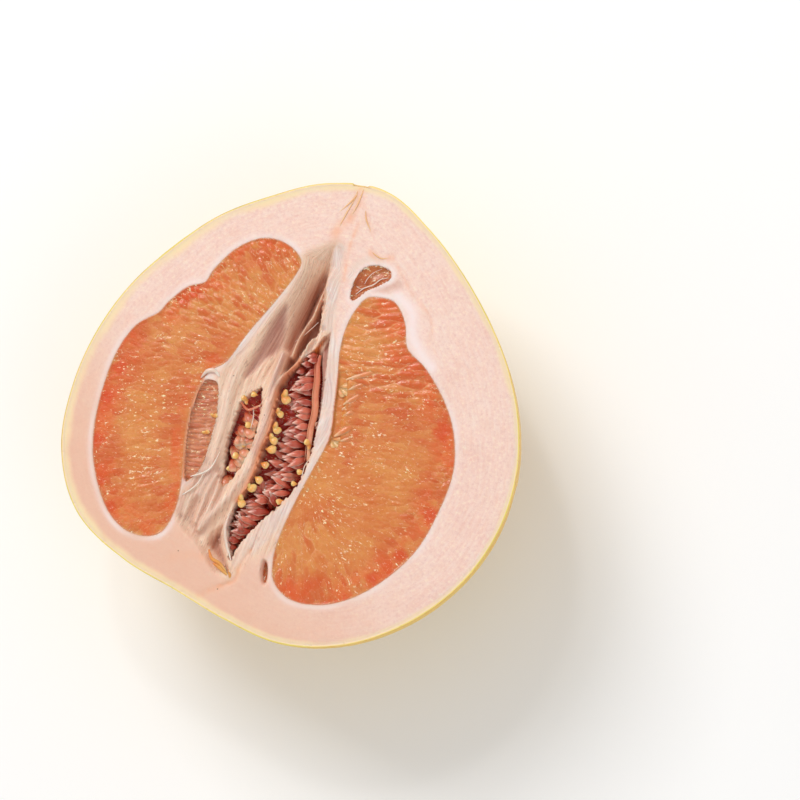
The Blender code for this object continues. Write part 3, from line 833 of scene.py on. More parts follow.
def pith_marks(points, heights, inside):
    """Masks for the pith's finish, for points of the cut face."""
    x, y = points.T
    ragged = hills(x, y, 1.6, 55)
    torn = ease(inside["torn"] + 1.5 * ragged * ease(y, -30, -45), -1.5, 2.5)
    white = ease(inside["white"] + 0.5 * ragged, -0.6, 0.8) * (1 - 0.45 * ease(y, -34, -48))
    for line, width, _ in CRESTS:
        white = most(white, 0.3 * near_line(points, line, width * 0.6))
    white = most(white, *[0.95 * near_line(points, line, width) for line, width in PALE_LINES])
    near_flesh = most(*[np.exp(-((inside[name] + 0.9) / 0.9) ** 2) for name in EDGES[:4]])
    near_flesh = (0.5 + 0.35 * hills(x, y, 9, 57)) * near_flesh
    lavender = most(near_flesh, near_line(points, NECK_BAND, 2.2))
    stain = np.zeros(len(points))
    for line, width, amount in STAINS:
        stain = most(stain, amount * (0.62 + 0.38 * ragged) * near_line(points, line, width))
    mauve = most(
        ease(inside["mauve"], -0.5, 2), 0.45 * ease(inside["veil"], -0.6, 1.4),
        ease(inside["ledge"], -0.4, 0.6), 0.75 * near_line(points, STRAND_B[:5], 0.9),
        0.6 * ease(inside["recess"], 0.5, 3),
    )
    # Painted shade: a band of mauve alongside each fold, 1.8 mm from its line.
    for fold in FOLDS:
        away = nearest(points, curve_through(fold, 16, closed=False))[0]
        mauve = most(mauve, 0.5 * np.exp(-((away - 1.8) / 0.9) ** 2))
    mauve *= 1 - white
    turn = np.arctan2(y, x)
    reach = on_rim(turn % math.tau / math.tau * 24) - SKIN - np.hypot(x, y)
    amber = ease(inside["locule"], 0.2, 1.2) * ease(y, 8, 14) * ease(inside["ledge"], 0, -1.5)
    return {
        "torn": torn, "white": white, "stain": stain, "mauve": mauve, "amber": amber,
        "lavender": lavender * (1 - torn),
        # painted shade: how far below the cut a point lies, 0 at the cut and 1 at 12 mm down
        "deep": np.clip(-heights / 12, 0, 1),
        "rimward": ease(reach, 2.4 + 1.6 * np.cos(turn - 3.0), 0),
        "fleshy": most(
            near_line(points, SEAM, 0.9), 0.9 * near_line(points, CORD_EDGE, 1.2),
            *[ease(inside[name], -0.1, 0.4) for name in EDGES[:4]],
        ),
        # darker and oranger towards the lower left of the cut face
        "darker_warmer": ease(-0.45 * x - 0.9 * y, 5, 75),
        "ring_way": np.column_stack([reach, turn * 70, 0 * x]) * MM,
        "torn_way": np.column_stack([wall_place(points) * 22, y, heights]) * MM,
    }


def make_pith(material):
    """The pith: a spun disc and bowl, with the torn core pushed down into it."""
    face = [(k / FACE_RINGS, 0) for k in range(FACE_RINGS + 1)]
    bowl = [(math.sin(math.pi / 2 * (1 - k / BOWL_RINGS)), -k) for k in range(1, BOWL_RINGS + 1)]
    bm = spin_profile(face + bowl[:-1] + [(0, -BOWL_RINGS)], PITH_STEPS)
    upper = [f for f in bm.faces if all(v.co.z == 0 for v in f.verts)]
    middles = disc_place(np.array([f.calc_center_median()[:2] for f in upper]))
    chosen = {e for f, fine in zip(upper, pith_finely(middles)) if fine for e in f.edges}
    bmesh.ops.subdivide_edges(bm, edges=list(chosen), cuts=1, use_grid_fill=True)
    spots = np.array([v.co[:] for v in bm.verts])
    top = spots[:, 2] == 0
    points = np.empty_like(spots)
    cut = disc_place(spots[top])
    inside = depths(cut, OUTLINES)
    heights = cut_heights(cut, inside) * ease(np.hypot(spots[top, 0], spots[top, 1]), 1.0, 0.96)
    points[top] = np.column_stack([cut, FACE + heights])
    turn = np.arctan2(spots[:, 1], spots[:, 0]) % math.tau
    tilt = RIM_TILT * (1 + spots[:, 2] / BOWL_RINGS)
    points[~top] = fruit_points(turn[~top], tilt[~top], np.full((~top).sum(), SKIN))
    move_points(bm, points)
    bmesh.ops.recalc_face_normals(bm, faces=bm.faces)
    marks = {}
    for name, values in pith_marks(cut, heights, inside).items():
        marks[name] = np.zeros((len(points), *values.shape[1:]))
        marks[name][top] = values
    return make_piece("pith_cut", bm, material, ["pith"], marks, crease=62)


# %% [markdown]
# Pith is matt and lets light in a little way. Its colour runs from cream under the skin through
# pale pink to nearly white round the flesh. Where it is torn it shows fibres, so a noise is
# stretched along the way that they run, which each point carries as a mark.

# %% Pith finish
def make_fibres():
    """Fine streaks from 0 to 1, across and along the way stored on the piece."""
    sockets = [
        ("Way", "NodeSocketVector", None), ("Across per metre", "NodeSocketFloat", 900.0),
        ("Along per metre", "NodeSocketFloat", 70.0),
    ]
    group, given, made = new_group("fibres", sockets, [("Streaks", "NodeSocketFloat")])
    size = put(group, "ShaderNodeCombineXYZ", {
        "X": given.outputs["Across per metre"], "Y": given.outputs["Along per metre"], "Z": 300.0,
    })
    both = {0: given.outputs["Way"], 1: size.outputs[0]}
    stretched = put(group, "ShaderNodeVectorMath", both, operation="MULTIPLY")
    streaks = noise(group, stretched.outputs[0], 1.0, 4.0, 0.65)
    group.links.new(between(group, streaks, 0.3, 0.7), made.inputs["Streaks"])
    return group


FIBRES = make_fibres()


def fibres(tree, name, across, along):
    """Streaks from 0 to 1 that follow the way stored on the piece under a name."""
    way = put(tree, "ShaderNodeAttribute", attribute_name=name).outputs["Vector"]
    return use_group(tree, FIBRES, Way=way, Across_per_metre=across, Along_per_metre=along)


def pith_material():
    made, tree, shader = new_material(
        "pith", 0.62, Subsurface_Weight=0.35, Subsurface_Radius=(1.0, 0.55, 0.45),
        Subsurface_Scale=0.0022, Coat_Weight=0.12, Coat_Roughness=0.3,
    )
    place = place_on(tree)
    pink = use_group(
        tree, MOTTLE, Colour=paint(240, 203, 187), Patches_per_metre=60.0,
        Light=paint(242, 213, 200), Dark=paint(236, 192, 177), Amount=0.6,
    )
    ring = fibres(tree, "ring_way", 1000.0, 150.0)
    pink = mixed(tree, times(tree, ring, 0.5), pink, paint(247, 224, 214))
    grain = noise(tree, place, 900.0, 5.0, 0.75)
    pink = mixed(tree, between(tree, grain, 0.52, 0.64, 0.0, 0.5), pink, paint(226, 184, 174))
    pink = mixed(tree, between(tree, grain, 0.47, 0.36, 0.0, 0.6), pink, paint(250, 228, 206))
    # The pith turns darker and oranger towards the lower left of the cut face.
    pink = mixed(tree, times(tree, mark(tree, "darker_warmer"), 0.8), pink, paint(231, 182, 154))
    uneven = between(tree, noise(tree, place, 70.0), 0.3, 0.7, -0.25, 0.25)
    border = plus(tree, mark(tree, "rimward"), uneven)
    colour = mixed(tree, between(tree, border, 0.1, 1.25), pink, CREAM)
    colour = mixed(tree, mark(tree, "lavender"), colour, paint(246, 226, 222))
    streaks = fibres(tree, "torn_way", 1000.0, 60.0)
    torn = mixed(tree, streaks, paint(228, 184, 156), paint(248, 218, 192))
    warm = between(tree, noise(tree, place, 110.0), 0.42, 0.62, 0.0, 0.5)
    torn = mixed(tree, warm, torn, paint(238, 198, 170))
    dashes = between(tree, fibres(tree, "torn_way", 1500.0, 380.0), 0.25, 0.05, 0.0, 0.4)
    colour = mixed(tree, mark(tree, "torn"), colour, torn)
    # The mauve mark is the tissue's own mauve, except the bands beside the folds, which are painted
    # shade.
    mauve = mixed(tree, streaks, paint(186, 128, 112), paint(216, 168, 148))
    colour = mixed(tree, mark(tree, "mauve"), colour, mauve)
    dashes = times(tree, dashes, mark(tree, "torn"))
    colour = mixed(tree, dashes, colour, paint(150, 104, 92))
    bright = mixed(tree, streaks, paint(216, 186, 178), paint(246, 230, 220))
    bright = mixed(tree, warm, bright, paint(238, 206, 184))
    colour = mixed(tree, mark(tree, "white"), colour, bright)
    tint = mixed(tree, grain, paint(238, 150, 96), paint(246, 190, 150))
    colour = mixed(tree, mark(tree, "stain"), colour, tint)
    colour = mixed(tree, mark(tree, "fleshy"), colour, paint(230, 142, 96))
    # Painted shade: the lower the pith lies below the cut, the more it is darkened to brown and then
    # to dark red.
    depth_shade_brown = mixed(tree, streaks, paint(180, 116, 90), paint(208, 150, 124))
    colour = mixed(tree, between(tree, mark(tree, "deep"), 0.3, 0.75), colour, depth_shade_brown)
    colour = mixed(tree, between(tree, mark(tree, "deep"), 0.72, 1.1), colour, paint(120, 44, 28))
    amber = mixed(tree, streaks, paint(176, 72, 22), paint(214, 118, 50))
    colour = mixed(tree, mark(tree, "amber"), colour, amber)
    speck = put(tree, "ShaderNodeTexVoronoi", {"Vector": place, "Scale": 90.0}).outputs["Distance"]
    colour = mixed(tree, between(tree, speck, 0.03, 0.015, 0.0, 0.8), colour, paint(120, 84, 60))
    fine = bump(tree, times(tree, streaks, mark(tree, "torn")), 0.5, 0.0003)
    spongy = bump(tree, grain, 0.3, 0.0003, fine)
    feed(tree, shader, Base_Color=colour, Normal=spongy)
    return made


pith = make_pith(pith_material())

# %% [markdown]
# ## Flesh
#
# Each orange segment is packed with long juice cells that lie side by side and point away from
# the core. The knife opens them, so the cut shows their walls as pale lines and their insides
# as small wet domes. Cells of two lengths are scattered inside the segment's outline, each
# point of a fine grid finds the two cells nearest to it, and where those are equally near
# there is a wall. That gives true edges between cells, which plain noise would not.

# %% Lines that the cells follow
LEFT_SPINE = [(-12, 42), (-19, 26), (-23, 10), (-19, -8), (-12, -26)]
RIGHT_SPINE = [(-5.5, 47), (-1, 34), (2.5, 20), (5, 4), (8, -10), (10, -26)]
LEFT_RED = [
    (-53.5, 21.5, 4), (-50.5, 24, 4), (-65.8, -9.7, 3), (-66.5, -21, 3), (-64.5, -36, 3),
    (-58, -49.5, 3), (-52, -56, 3),
]
RIGHT_RED = [(54.5, -21.5, 3.5), (43.8, -49, 3.5), (49.9, -37.5, 3), (48, 7, 4)]


def line_spot(line, share):
    """Points at shares of a line's length."""
    walked = np.concatenate([[0], np.cumsum(np.hypot(*np.diff(line, axis=0).T))])
    return np.column_stack([np.interp(share * walked[-1], walked, axis) for axis in line.T])


def away_from(points, line):
    """Directions from a line to points."""
    smooth = curve_through(line, len(line) * 6, closed=False)
    foot = line_spot(smooth, nearest(points, smooth)[2])
    out = points - foot
    return out / np.maximum(np.linalg.norm(out, axis=1), 1e-6)[:, None]


# %% Scattering cells
CELLS_APART = 0.62
TILE = 5.0


def scatter_cells(outline, direction, half_size, seed, tries=9000):
    """Cells in an outline, each with a middle, a direction, half a length and half a width."""
    rng = np.random.default_rng(seed)
    line = curve_through(outline, len(outline) * 4)
    spots = rng.uniform(line.min(0), line.max(0), (tries, 2))
    spots = spots[depth_inside(spots, outline) > -1]
    swirl = 0.22 * hills(*spots.T, 9, seed) + rng.normal(0, 0.07, len(spots))
    ways = direction(spots)
    ways = ways * np.cos(swirl)[:, None] + ways[:, ::-1] * [-1, 1] * np.sin(swirl)[:, None]
    sizes = half_size(spots) * rng.uniform(0.8, 1.25, (len(spots), 2))
    kept = [0]
    for k, spot in enumerate(spots[1:], 1):
        off = spots[kept] - spot
        along = off @ ways[k]
        across = off @ (ways[k][::-1] * [-1, 1])
        reach = sizes[kept] + sizes[k]
        if ((along / reach[:, 0]) ** 2 + (across / reach[:, 1]) ** 2).min() > CELLS_APART:
            kept.append(k)
    return spots[kept], ways[kept], sizes[kept]


def find_cells(points, cells):
    """Each point's cell, how far out in it the point lies, and how far from its walls."""
    middles, ways, sizes = cells
    bent = points + 0.25 * np.stack([hills(*points.T, 1.6, 71), hills(*points.T, 1.6, 72)], 1)
    number = np.empty(len(points), int)
    out = np.empty(len(points))
    gap = np.empty(len(points))
    tiles, member = np.unique(np.floor(bent / TILE), axis=0, return_inverse=True)
    order = np.argsort(member.ravel(), kind="stable")
    starts = np.cumsum(np.bincount(member.ravel()))[:-1]
    for place, rows in zip(tiles, np.split(order, starts)):
        away = np.abs(middles - (place + 0.5) * TILE).max(1)
        near = np.flatnonzero(away < TILE / 2 + 1.6 * sizes[:, 0] + 1.5)
        off = bent[rows, None, :] - middles[near]
        along = (off * ways[near]).sum(2) / sizes[near, 0]
        across = (off[..., 1] * ways[near, 0] - off[..., 0] * ways[near, 1]) / sizes[near, 1]
        reach = np.sqrt(along**2 + across**2)
        two = np.partition(reach, 1, axis=1)[:, :2]
        number[rows] = near[reach.argmin(1)]
        out[rows], gap[rows] = two[:, 0], two[:, 1] - two[:, 0]
    return number, out, gap


# %% A slab over an outline
def trim_loose(bm):
    """Deletes points with no face, and points where only corners of faces meet."""
    def is_loose(vert):
        return not vert.link_faces or sum(e.is_boundary for e in vert.link_edges) > 2

    while spare := [v for v in bm.verts if is_loose(v)]:
        bmesh.ops.delete(bm, geom=spare, context="VERTS")


def make_slab(outline, cell, overlap, heights, floor):
    """A closed slab: heights gives its top and its marks, floor its underside."""
    line = curve_through(outline, len(outline) * 8)
    low, high = line.min(0) - overlap - cell, line.max(0) + overlap + cell
    count = np.ceil((high - low) / cell).astype(int)
    bm = bmesh.new()
    bmesh.ops.create_grid(bm, x_segments=int(count[0]), y_segments=int(count[1]), size=0.5 * MM)
    points = points_of(bm)
    points[:, :2] = low + (points[:, :2] + 0.5) * (high - low)
    move_points(bm, points)
    inside = depth_inside(points[:, :2], outline) > -overlap
    spare = [v for v, keep in zip(bm.verts, inside) if not keep]
    bmesh.ops.delete(bm, geom=spare, context="VERTS")
    trim_loose(bm)
    made = bmesh.ops.extrude_edge_only(bm, edges=[e for e in bm.edges if e.is_boundary])["geom"]
    lower = {g for g in made if isinstance(g, bmesh.types.BMVert)}
    points = points_of(bm)
    top_heights, marks = heights(points[:, :2])
    below = np.array([v in lower for v in bm.verts])
    points[:, 2] = FACE + np.where(below, floor(points[:, :2]), top_heights)
    move_points(bm, points)
    rim = [g for g in made if isinstance(g, bmesh.types.BMEdge) and g.is_boundary]
    bmesh.ops.holes_fill(bm, edges=rim, sides=0)
    bmesh.ops.recalc_face_normals(bm, faces=bm.faces)
    return bm, marks


# %% Segments
def segment_heights(outline, rind_side, spine, long_neck, red, seed):
    """Heights and marks for a segment's cut face."""
    rind_line = curve_through(rind_side, 60, closed=False)
    inner_line = curve_through(spine, 30, closed=False)

    def half_size(spots):
        rind = nearest(spots, rind_line)[0]
        neck = ease(spots[:, 1], 12, 24) * (long_neck > 0)
        long = np.interp(rind, [0, 2.5, 7, 16, 26], [1.1, 1.7, 2.4, 3.2, 4.0])
        return np.column_stack([long + long_neck * neck, 1.02 + 0.3 * neck])

    cells = scatter_cells(outline, lambda spots: away_from(spots, spine), half_size, seed)
    rng = np.random.default_rng(seed + 1)
    level = rng.uniform(-1, 1, len(cells[0]))
    tone = rng.uniform(0, 1, len(cells[0]))
    print("cells:", len(level))

    def heights(points):
        x, y = points.T
        number, out, gap = find_cells(points, cells)
        inside = depth_inside(points, outline)
        rind = nearest(points, rind_line)[0]
        inner = nearest(points, inner_line)[0]
        neck = ease(y, 10, 20)
        net = ease(rough_hills(x, y, 12, seed + 5) + 0.9 * neck - 0.2, 0.0, 0.7)
        wall = ease(gap, 0.22, 0.02)
        dome = 0.05 + 0.16 * net + 0.1 * neck * (long_neck > 0)
        top = dome * (0.6 - np.minimum(out, 1.3) ** 2)
        top = top + 0.14 * net * level[number] * ease(gap, 0.0, 0.4)
        top += 0.16 * rough_hills(x, y, 6, seed + 2) + 0.03 * hills(x, y, 0.7, seed + 3) - 0.12
        shelf = ease(inside, 4.6, 3.4) * ease(y, 17, 13) * ease(y, -12, -8) * ease(inner, 9, 7)
        top -= 1.2 * shelf * (long_neck > 0)
        top = top * ease(inside, 0.0, 0.9) - 0.02 - 0.6 * ease(inside, 0.05, -0.35)
        salmon = ease(inside, 5.5, 4) * ease(rind, 10, 14) * ease(y, 12, 0) * (long_neck == 0)
        red_spots = [np.exp(-(((x - a) ** 2 + (y - b) ** 2) / size**2)) for a, b, size in red]
        ways = cells[1][number]
        beside, along = y * ways[:, 0] - x * ways[:, 1], (points * ways).sum(1)
        flow = np.column_stack([beside, along, tone[number] * 40])
        core = most(ease(inner, 15, 6), 0.8 * ease(inside, 8, 13) * ease(y, 6, -10))
        marks = {
            "wall": wall * (0.12 + 0.88 * net), "tone": tone[number],
            "rind": most(ease(rind, 13, 0), 0.7 * salmon), "hot": np.max(red_spots, axis=0),
            "core": core * (1 - salmon), "way": flow * MM, "middle": ease(out, 0.95, 0.3) * net,
            "edge": ease(inside, 0.6, 0.0),
        }
        return top, marks

    return heights


def make_segment(name, node, outline, shape, material):
    """One orange segment of the half."""
    heights = segment_heights(outline, *shape)
    bm, marks = make_slab(outline, 0.29, 0.35, heights, lambda p: 0.4 - flesh_depth(p))
    return make_piece(name, bm, material, [node], marks)


# %% [markdown]
# Flesh is wet and see-through. The insides of the cells are darker and browner where the light
# sinks in, the walls are pale, the ends at the rind are red and the ends at the core yellow.
# A smooth coat over a rippled film gives the small glints of juice, and sparse near-white flecks
# painted into the colour add more of them as painted highlights.

# %% Flesh finish
def flesh_material(name, dark, light, wall_colour, red, yellow):
    made, tree, shader = new_material(
        name, 0.34, Subsurface_Weight=0.6, Subsurface_Radius=(1.0, 0.42, 0.2),
        Subsurface_Scale=0.003, Coat_Weight=0.5, Coat_Roughness=0.1, Coat_IOR=1.36,
        Specular_IOR_Level=0.3,
    )
    place = place_on(tree)
    patches = noise(tree, place, 55.0, 4.0, 0.6)
    tone = plus(tree, times(tree, mark(tree, "tone"), 0.2), times(tree, patches, 0.9))
    colour = mixed(tree, between(tree, tone, 0.38, 0.72), dark, light)
    streaks = fibres(tree, "way", 900.0, 130.0)
    colour = mixed(tree, times(tree, streaks, 0.16), colour, wall_colour)
    uneven = between(tree, noise(tree, place, 120.0), 0.38, 0.62)
    darker_warmer = times(tree, mark(tree, "rind"), uneven)
    colour = mixed(tree, times(tree, darker_warmer, 0.75), colour, red)
    colour = mixed(tree, times(tree, mark(tree, "core"), 0.55), colour, yellow)
    spots = times(tree, noise(tree, place, 230.0, 5.0, 0.7), 1.6)
    hot = between(tree, plus(tree, mark(tree, "hot"), spots), 1.0, 1.75, 0.0, 0.8)
    colour = mixed(tree, hot, colour, paint(218, 72, 20))
    sunk = between(tree, mark(tree, "tone"), 0.8, 0.3, 0.0, 0.7)
    sunk = times(tree, mark(tree, "middle"), sunk)
    colour = mixed(tree, sunk, colour, dark)
    pale = between(tree, noise(tree, place, 260.0), 0.35, 0.6, 0.2, 0.8)
    colour = mixed(tree, times(tree, mark(tree, "wall"), pale), colour, wall_colour)
    grains = between(tree, noise(tree, place, 900.0, 3.0), 0.35, 0.65, 0.0, 0.22)
    colour = mixed(tree, grains, colour, dark)
    # Painted highlights: sparse short near-white flecks along the cells stand in for glints of juice.
    painted_glints = between(tree, fibres(tree, "way", 1300.0, 600.0), 0.83, 0.97)
    some = between(tree, noise(tree, place, 90.0), 0.4, 0.6, 0.25, 1.0)
    colour = mixed(tree, times(tree, painted_glints, some), colour, paint(255, 232, 192))
    edge = times(tree, mark(tree, "edge"), 0.5)
    colour = mixed(tree, edge, colour, paint(240, 178, 146))
    ridges = bump(tree, streaks, 0.2, 0.0002)
    film = use_group(
        tree, WET_FILM, Ripples_per_metre=1100.0, Depth=0.0003, Strength=0.45, Normal=ridges,
    )
    feed(tree, shader, Base_Color=colour, Normal=film)
    return made


flesh = flesh_material(
    "orange flesh", paint(206, 94, 34), paint(220, 146, 76), paint(240, 178, 122),
    paint(230, 92, 36), paint(224, 150, 76),
)
LEFT_SHAPE = (LEFT_RIND_SIDE, LEFT_SPINE, 0.0, LEFT_RED, 101)
RIGHT_SHAPE = (RIGHT_RIND_SIDE, RIGHT_SPINE, 4.0, RIGHT_RED, 202)
make_segment("segment_left", "flesh_left", LEFT_FLESH, LEFT_SHAPE, flesh)
make_segment("segment_right", "flesh_right", RIGHT_FLESH, RIGHT_SHAPE, flesh)

# %% [markdown]
# ## Pockets
#
# Three smaller openings show flesh that lies lower than the cut: a pocket left of the core with
# ribs across it, a brown one under the stem with white threads over it, and a hole at the
# bottom. They are slabs like the segments, with their own cells and duller colours. A bed of
# dark pulp closes the torn core and its window below the sacs.

# %% Pocket fillings
def ribbed_heights(outline, level, half_size, lie, seed):
    """Heights and marks for a sunken filling with ribs lying one way."""
    lie = np.array(lie) / np.hypot(*lie)

    def same_for_all(value):
        return lambda spots: np.tile(value, (len(spots), 1))

    cells = scatter_cells(outline, same_for_all(lie), same_for_all(half_size), seed, 2500)
    tone = np.random.default_rng(seed + 1).uniform(0, 1, len(cells[0]))

    def heights(points):
        number, out, gap = find_cells(points, cells)
        inside = depth_inside(points, outline)
        top = level + 0.6 * (1 - np.minimum(out, 1.3) ** 2)
        top = top + 0.3 * rough_hills(*points.T, 5, seed + 2)
        top += 0.8 * ease(inside, 1.4, -0.2)
        flow = np.column_stack([points @ (lie[::-1] * [-1, 1]), points @ lie, tone[number] * 40])
        marks = {name: np.zeros(len(points)) for name in ("rind", "hot", "core", "edge")}
        marks |= {"wall": ease(gap, 0.3, 0.04), "tone": tone[number], "way": flow * MM}
        marks["middle"] = ease(out, 0.9, 0.2)
        return top, marks

    return heights


def make_filling(name, outline, ribs, lowest, material, stands_for):
    """A slab of sunken flesh."""
    heights = ribbed_heights(outline, *ribs)
    bm, marks = make_slab(outline, 0.3, 0.3, heights, lambda p: np.full(len(p), lowest))
    return make_piece(name, bm, material, stands_for, marks)


rose_flesh = flesh_material(
    "rose flesh", paint(190, 102, 66), paint(208, 132, 92), paint(232, 172, 138),
    paint(206, 92, 50), paint(226, 154, 90),
)
amber_flesh = flesh_material(
    "amber flesh", paint(186, 96, 50), paint(204, 118, 66), paint(208, 134, 90),
    paint(186, 86, 44), paint(214, 144, 80),
)
pulp = flesh_material(
    "dark pulp", paint(160, 24, 12), paint(196, 52, 28), paint(204, 74, 44),
    paint(160, 20, 12), paint(206, 92, 40),
)

# %% Pocket fillings, each with its level, its cells' half size, their lie and a random seed
LEFT_RIBS = (-1.7, (4.5, 0.75), (0.935, 0.353), 301)
TOP_RIBS = (-1.3, (4.0, 2.2), (0.8, 0.6), 302)
HOLE_RIBS = (-3.6, (3.0, 1.5), (0.3, 0.9), 303)
CORE_RIBS = (-9.5, (2.6, 1.4), (-0.9, -0.4), 304)
WINDOW_RIBS = (-7.5, (2.4, 1.3), (-0.9, 0.4), 305)
for name, outline, ribs, lowest, finish, slot, nodes in [
    ("pocket_flesh_left", LEFT_POCKET, LEFT_RIBS, -4.8, rose_flesh, "pale_sacs", ["sacs_left_pocket"]),
    ("pocket_flesh_top", TOP_POCKET, TOP_RIBS, -4.8, amber_flesh, "pale_sacs", ["sacs_top_pocket"]),
    ("pocket_flesh_bottom", BOTTOM_HOLE, HOLE_RIBS, -4.9, amber_flesh, "pale_sacs", []),
    ("pulp_bed_core", LOCULE, CORE_RIBS, -14.8, pulp, "sacs", []),
    ("pulp_bed_window", WINDOW, WINDOW_RIBS, -11.8, pulp, "sacs", []),
]:
    make_filling(name, outline, ribs, lowest, finish, nodes)

# %% [markdown]
# ## Juice sacs, seeds and threads
#
# Inside the torn core the sacs are whole: flat petals that grow from the right-hand wall and
# overlap like shingles, their tips to the lower left. The small seeds are yellow kernels on the
# cords. One petal or kernel is a sphere drawn out between a root and a tip, and a thread is a
# small circle extruded along a smooth line. Both have few faces, because there are hundreds.

# %% Drops
class Cluster:
    """Many small shapes in one bmesh, with marks kept in the order they are made."""

    def __init__(self, seed):
        self.bm = bmesh.new()
        self.rng = np.random.default_rng(seed)
        self.tones = self.bm.verts.layers.float.new("tone")
        self.shares = self.bm.verts.layers.float.new("share")
        self.sides = self.bm.verts.layers.float.new("side")

    def drop(
        self, root, tip, radius, flat, full, point=0.0, slim=0.55, blunt=0.3, sides=10, rings=8,
    ):
        """A drop from root to tip, fullest at a share of its length, slim at its root."""
        root, tip = np.array(root, float), np.array(tip, float)
        ball = bmesh.ops.create_uvsphere(self.bm, u_segments=sides, v_segments=rings, radius=1)
        made = ball["verts"]
        local = np.array([v.co[:] for v in made])
        ring = np.maximum(np.hypot(local[:, 0], local[:, 1]), 1e-6)
        local[:, :2] *= (ring**-blunt)[:, None]
        share = (local[:, 2] + 1) / 2
        share = share + (full - 0.5) * 1.6 * share * (1 - share)
        ahead = (tip - root) / np.linalg.norm(tip - root)
        side = np.cross(ahead, [0.1, 0.2, 1])
        side /= np.linalg.norm(side)
        up = np.cross(side, ahead)
        wide = slim + (1 - slim) * ease(share, 0.0, 0.6)
        wide = wide * (1 - point * ease(share, 0.45, 1.0)) * radius
        bend = self.rng.uniform(-0.35, 0.35) * radius * share * share
        placed = root + np.outer(share, tip - root) + np.outer(local[:, 0] * wide + bend, side)
        placed += np.outer(local[:, 1] * wide * flat, up)
        placed += np.outer(share * (1 - share), [0, 0, 1]) * radius
        tone = self.rng.uniform()
        for vert, spot, part, beside in zip(made, placed * MM, share, np.abs(local[:, 0])):
            vert.co = spot
            vert[self.tones] = tone
            vert[self.shares] = part
            vert[self.sides] = beside

    def thread(self, line, width, thick=None, sides=6, taper=0.6):
        """A round or flat thread along a line of points given from the cut."""
        path = curve_through(line, len(line) * 5, closed=False) + [0, 0, FACE]
        ahead = np.gradient(path, axis=0)
        ahead /= np.linalg.norm(ahead, axis=1)[:, None]
        side = np.cross(ahead, [0.02, 0.05, 1])
        side /= np.linalg.norm(side, axis=1)[:, None]
        up = np.cross(side, ahead)
        thick = thick or width
        first = bmesh.ops.create_circle(self.bm, segments=sides, radius=1)["verts"]
        ring = first
        turn = np.linspace(0, math.tau, sides, endpoint=False)
        tone = self.rng.uniform()
        for k, middle in enumerate(path):
            if k:
                ends = set(ring)
                loop = {e for v in ring for e in v.link_edges if set(e.verts) <= ends}
                new = bmesh.ops.extrude_edge_only(self.bm, edges=list(loop))["geom"]
                twin = [g for g in new if isinstance(g, bmesh.types.BMVert)]
                ring = [min(twin, key=lambda v: (v.co - old.co).length_squared) for old in ring]
            share = k / (len(path) - 1)
            size = 0.5 * (1 - taper * abs(2 * share - 1) ** 2)
            for vert, angle in zip(ring, turn):
                out = side[k] * math.cos(angle) * width * size
                out = out + up[k] * math.sin(angle) * thick * size
                vert.co = (middle + out) * MM
                vert[self.tones] = tone
                vert[self.shares] = share
        self.bm.faces.new(first)
        self.bm.faces.new(ring)

    def piece(self, name, material, slot, stands_for=()):
        """The cluster as one piece of the fruit."""
        bmesh.ops.recalc_face_normals(self.bm, faces=self.bm.faces)
        return make_piece(name, self.bm, material, stands_for)


# %% [markdown]
# A sac is a skin full of juice: dark where it is rooted in the pulp and pale at its tip and
# edges, where it is thin and light comes through; the pale tips and edges are also painted
# highlight. Each drop carries how far along it a point lies, how far to the side, and a tone of
# its own, so that one finish gives every drop its own look.

# %% Sac, seed and thread finishes
def drop_material(name, roughness, root_colour, body, pale_tip_and_highlight, see_in=0.5):
    """A wet translucent finish that runs from root to tip, a little different for each drop."""
    made, tree, shader = new_material(
        name, roughness, Subsurface_Weight=see_in, Subsurface_Radius=(1.0, 0.4, 0.3),
        Subsurface_Scale=0.002, Coat_Weight=0.7, Coat_Roughness=0.12, Coat_IOR=1.38,
        Specular_IOR_Level=0.35,
    )
    place = place_on(tree)
    body = mixed(tree, between(tree, mark(tree, "tone"), 0.2, 0.9, 0.0, 0.65), body, root_colour)
    colour = mixed(tree, between(tree, mark(tree, "share"), 0.0, 0.5), root_colour, body)
    # The pale tips are partly the drop's own see-through colour and partly painted highlight; the pale
    # edges from the side mark are painted highlight.
    colour = mixed(tree, between(tree, mark(tree, "share"), 0.6, 1.0, 0.0, 0.8), colour, pale_tip_and_highlight)
    colour = mixed(tree, between(tree, mark(tree, "side"), 0.6, 1.0, 0.0, 0.75), colour, pale_tip_and_highlight)
    patches = between(tree, noise(tree, place, 420.0), 0.5, 0.7, 0.0, 0.35)
    colour = mixed(tree, patches, colour, root_colour)
    film = use_group(tree, WET_FILM, Ripples_per_metre=1500.0, Depth=0.0002, Strength=0.5)
    feed(tree, shader, Base_Color=colour, Normal=film)
    return made


mauve_sacs = drop_material(
    "mauve sacs", 0.26, paint(154, 36, 18), paint(208, 108, 82), paint(248, 206, 188),
)
peach_sacs = drop_material(
    "peach sacs", 0.4, paint(184, 70, 38), paint(222, 138, 98), paint(242, 192, 158),
)
clear_sacs = drop_material(
    "clear sacs", 0.28, paint(220, 122, 62), paint(226, 140, 84), paint(244, 198, 154),
)
seed_yellow = drop_material(
    "seed yellow", 0.45, paint(222, 126, 52), paint(238, 176, 92), paint(250, 214, 146),
)
pale_seed = drop_material(
    "pale seed", 0.45, paint(226, 140, 80), paint(238, 174, 112), paint(248, 206, 152),
)
stem_fibre = drop_material(
    "stem fibre", 0.6, paint(246, 182, 128), paint(250, 196, 146), paint(252, 214, 176),
    see_in=0.2,
)
membrane = drop_material(
    "white membrane", 0.5, paint(222, 190, 172), paint(238, 218, 202), paint(248, 238, 228),
    see_in=0.3,
)
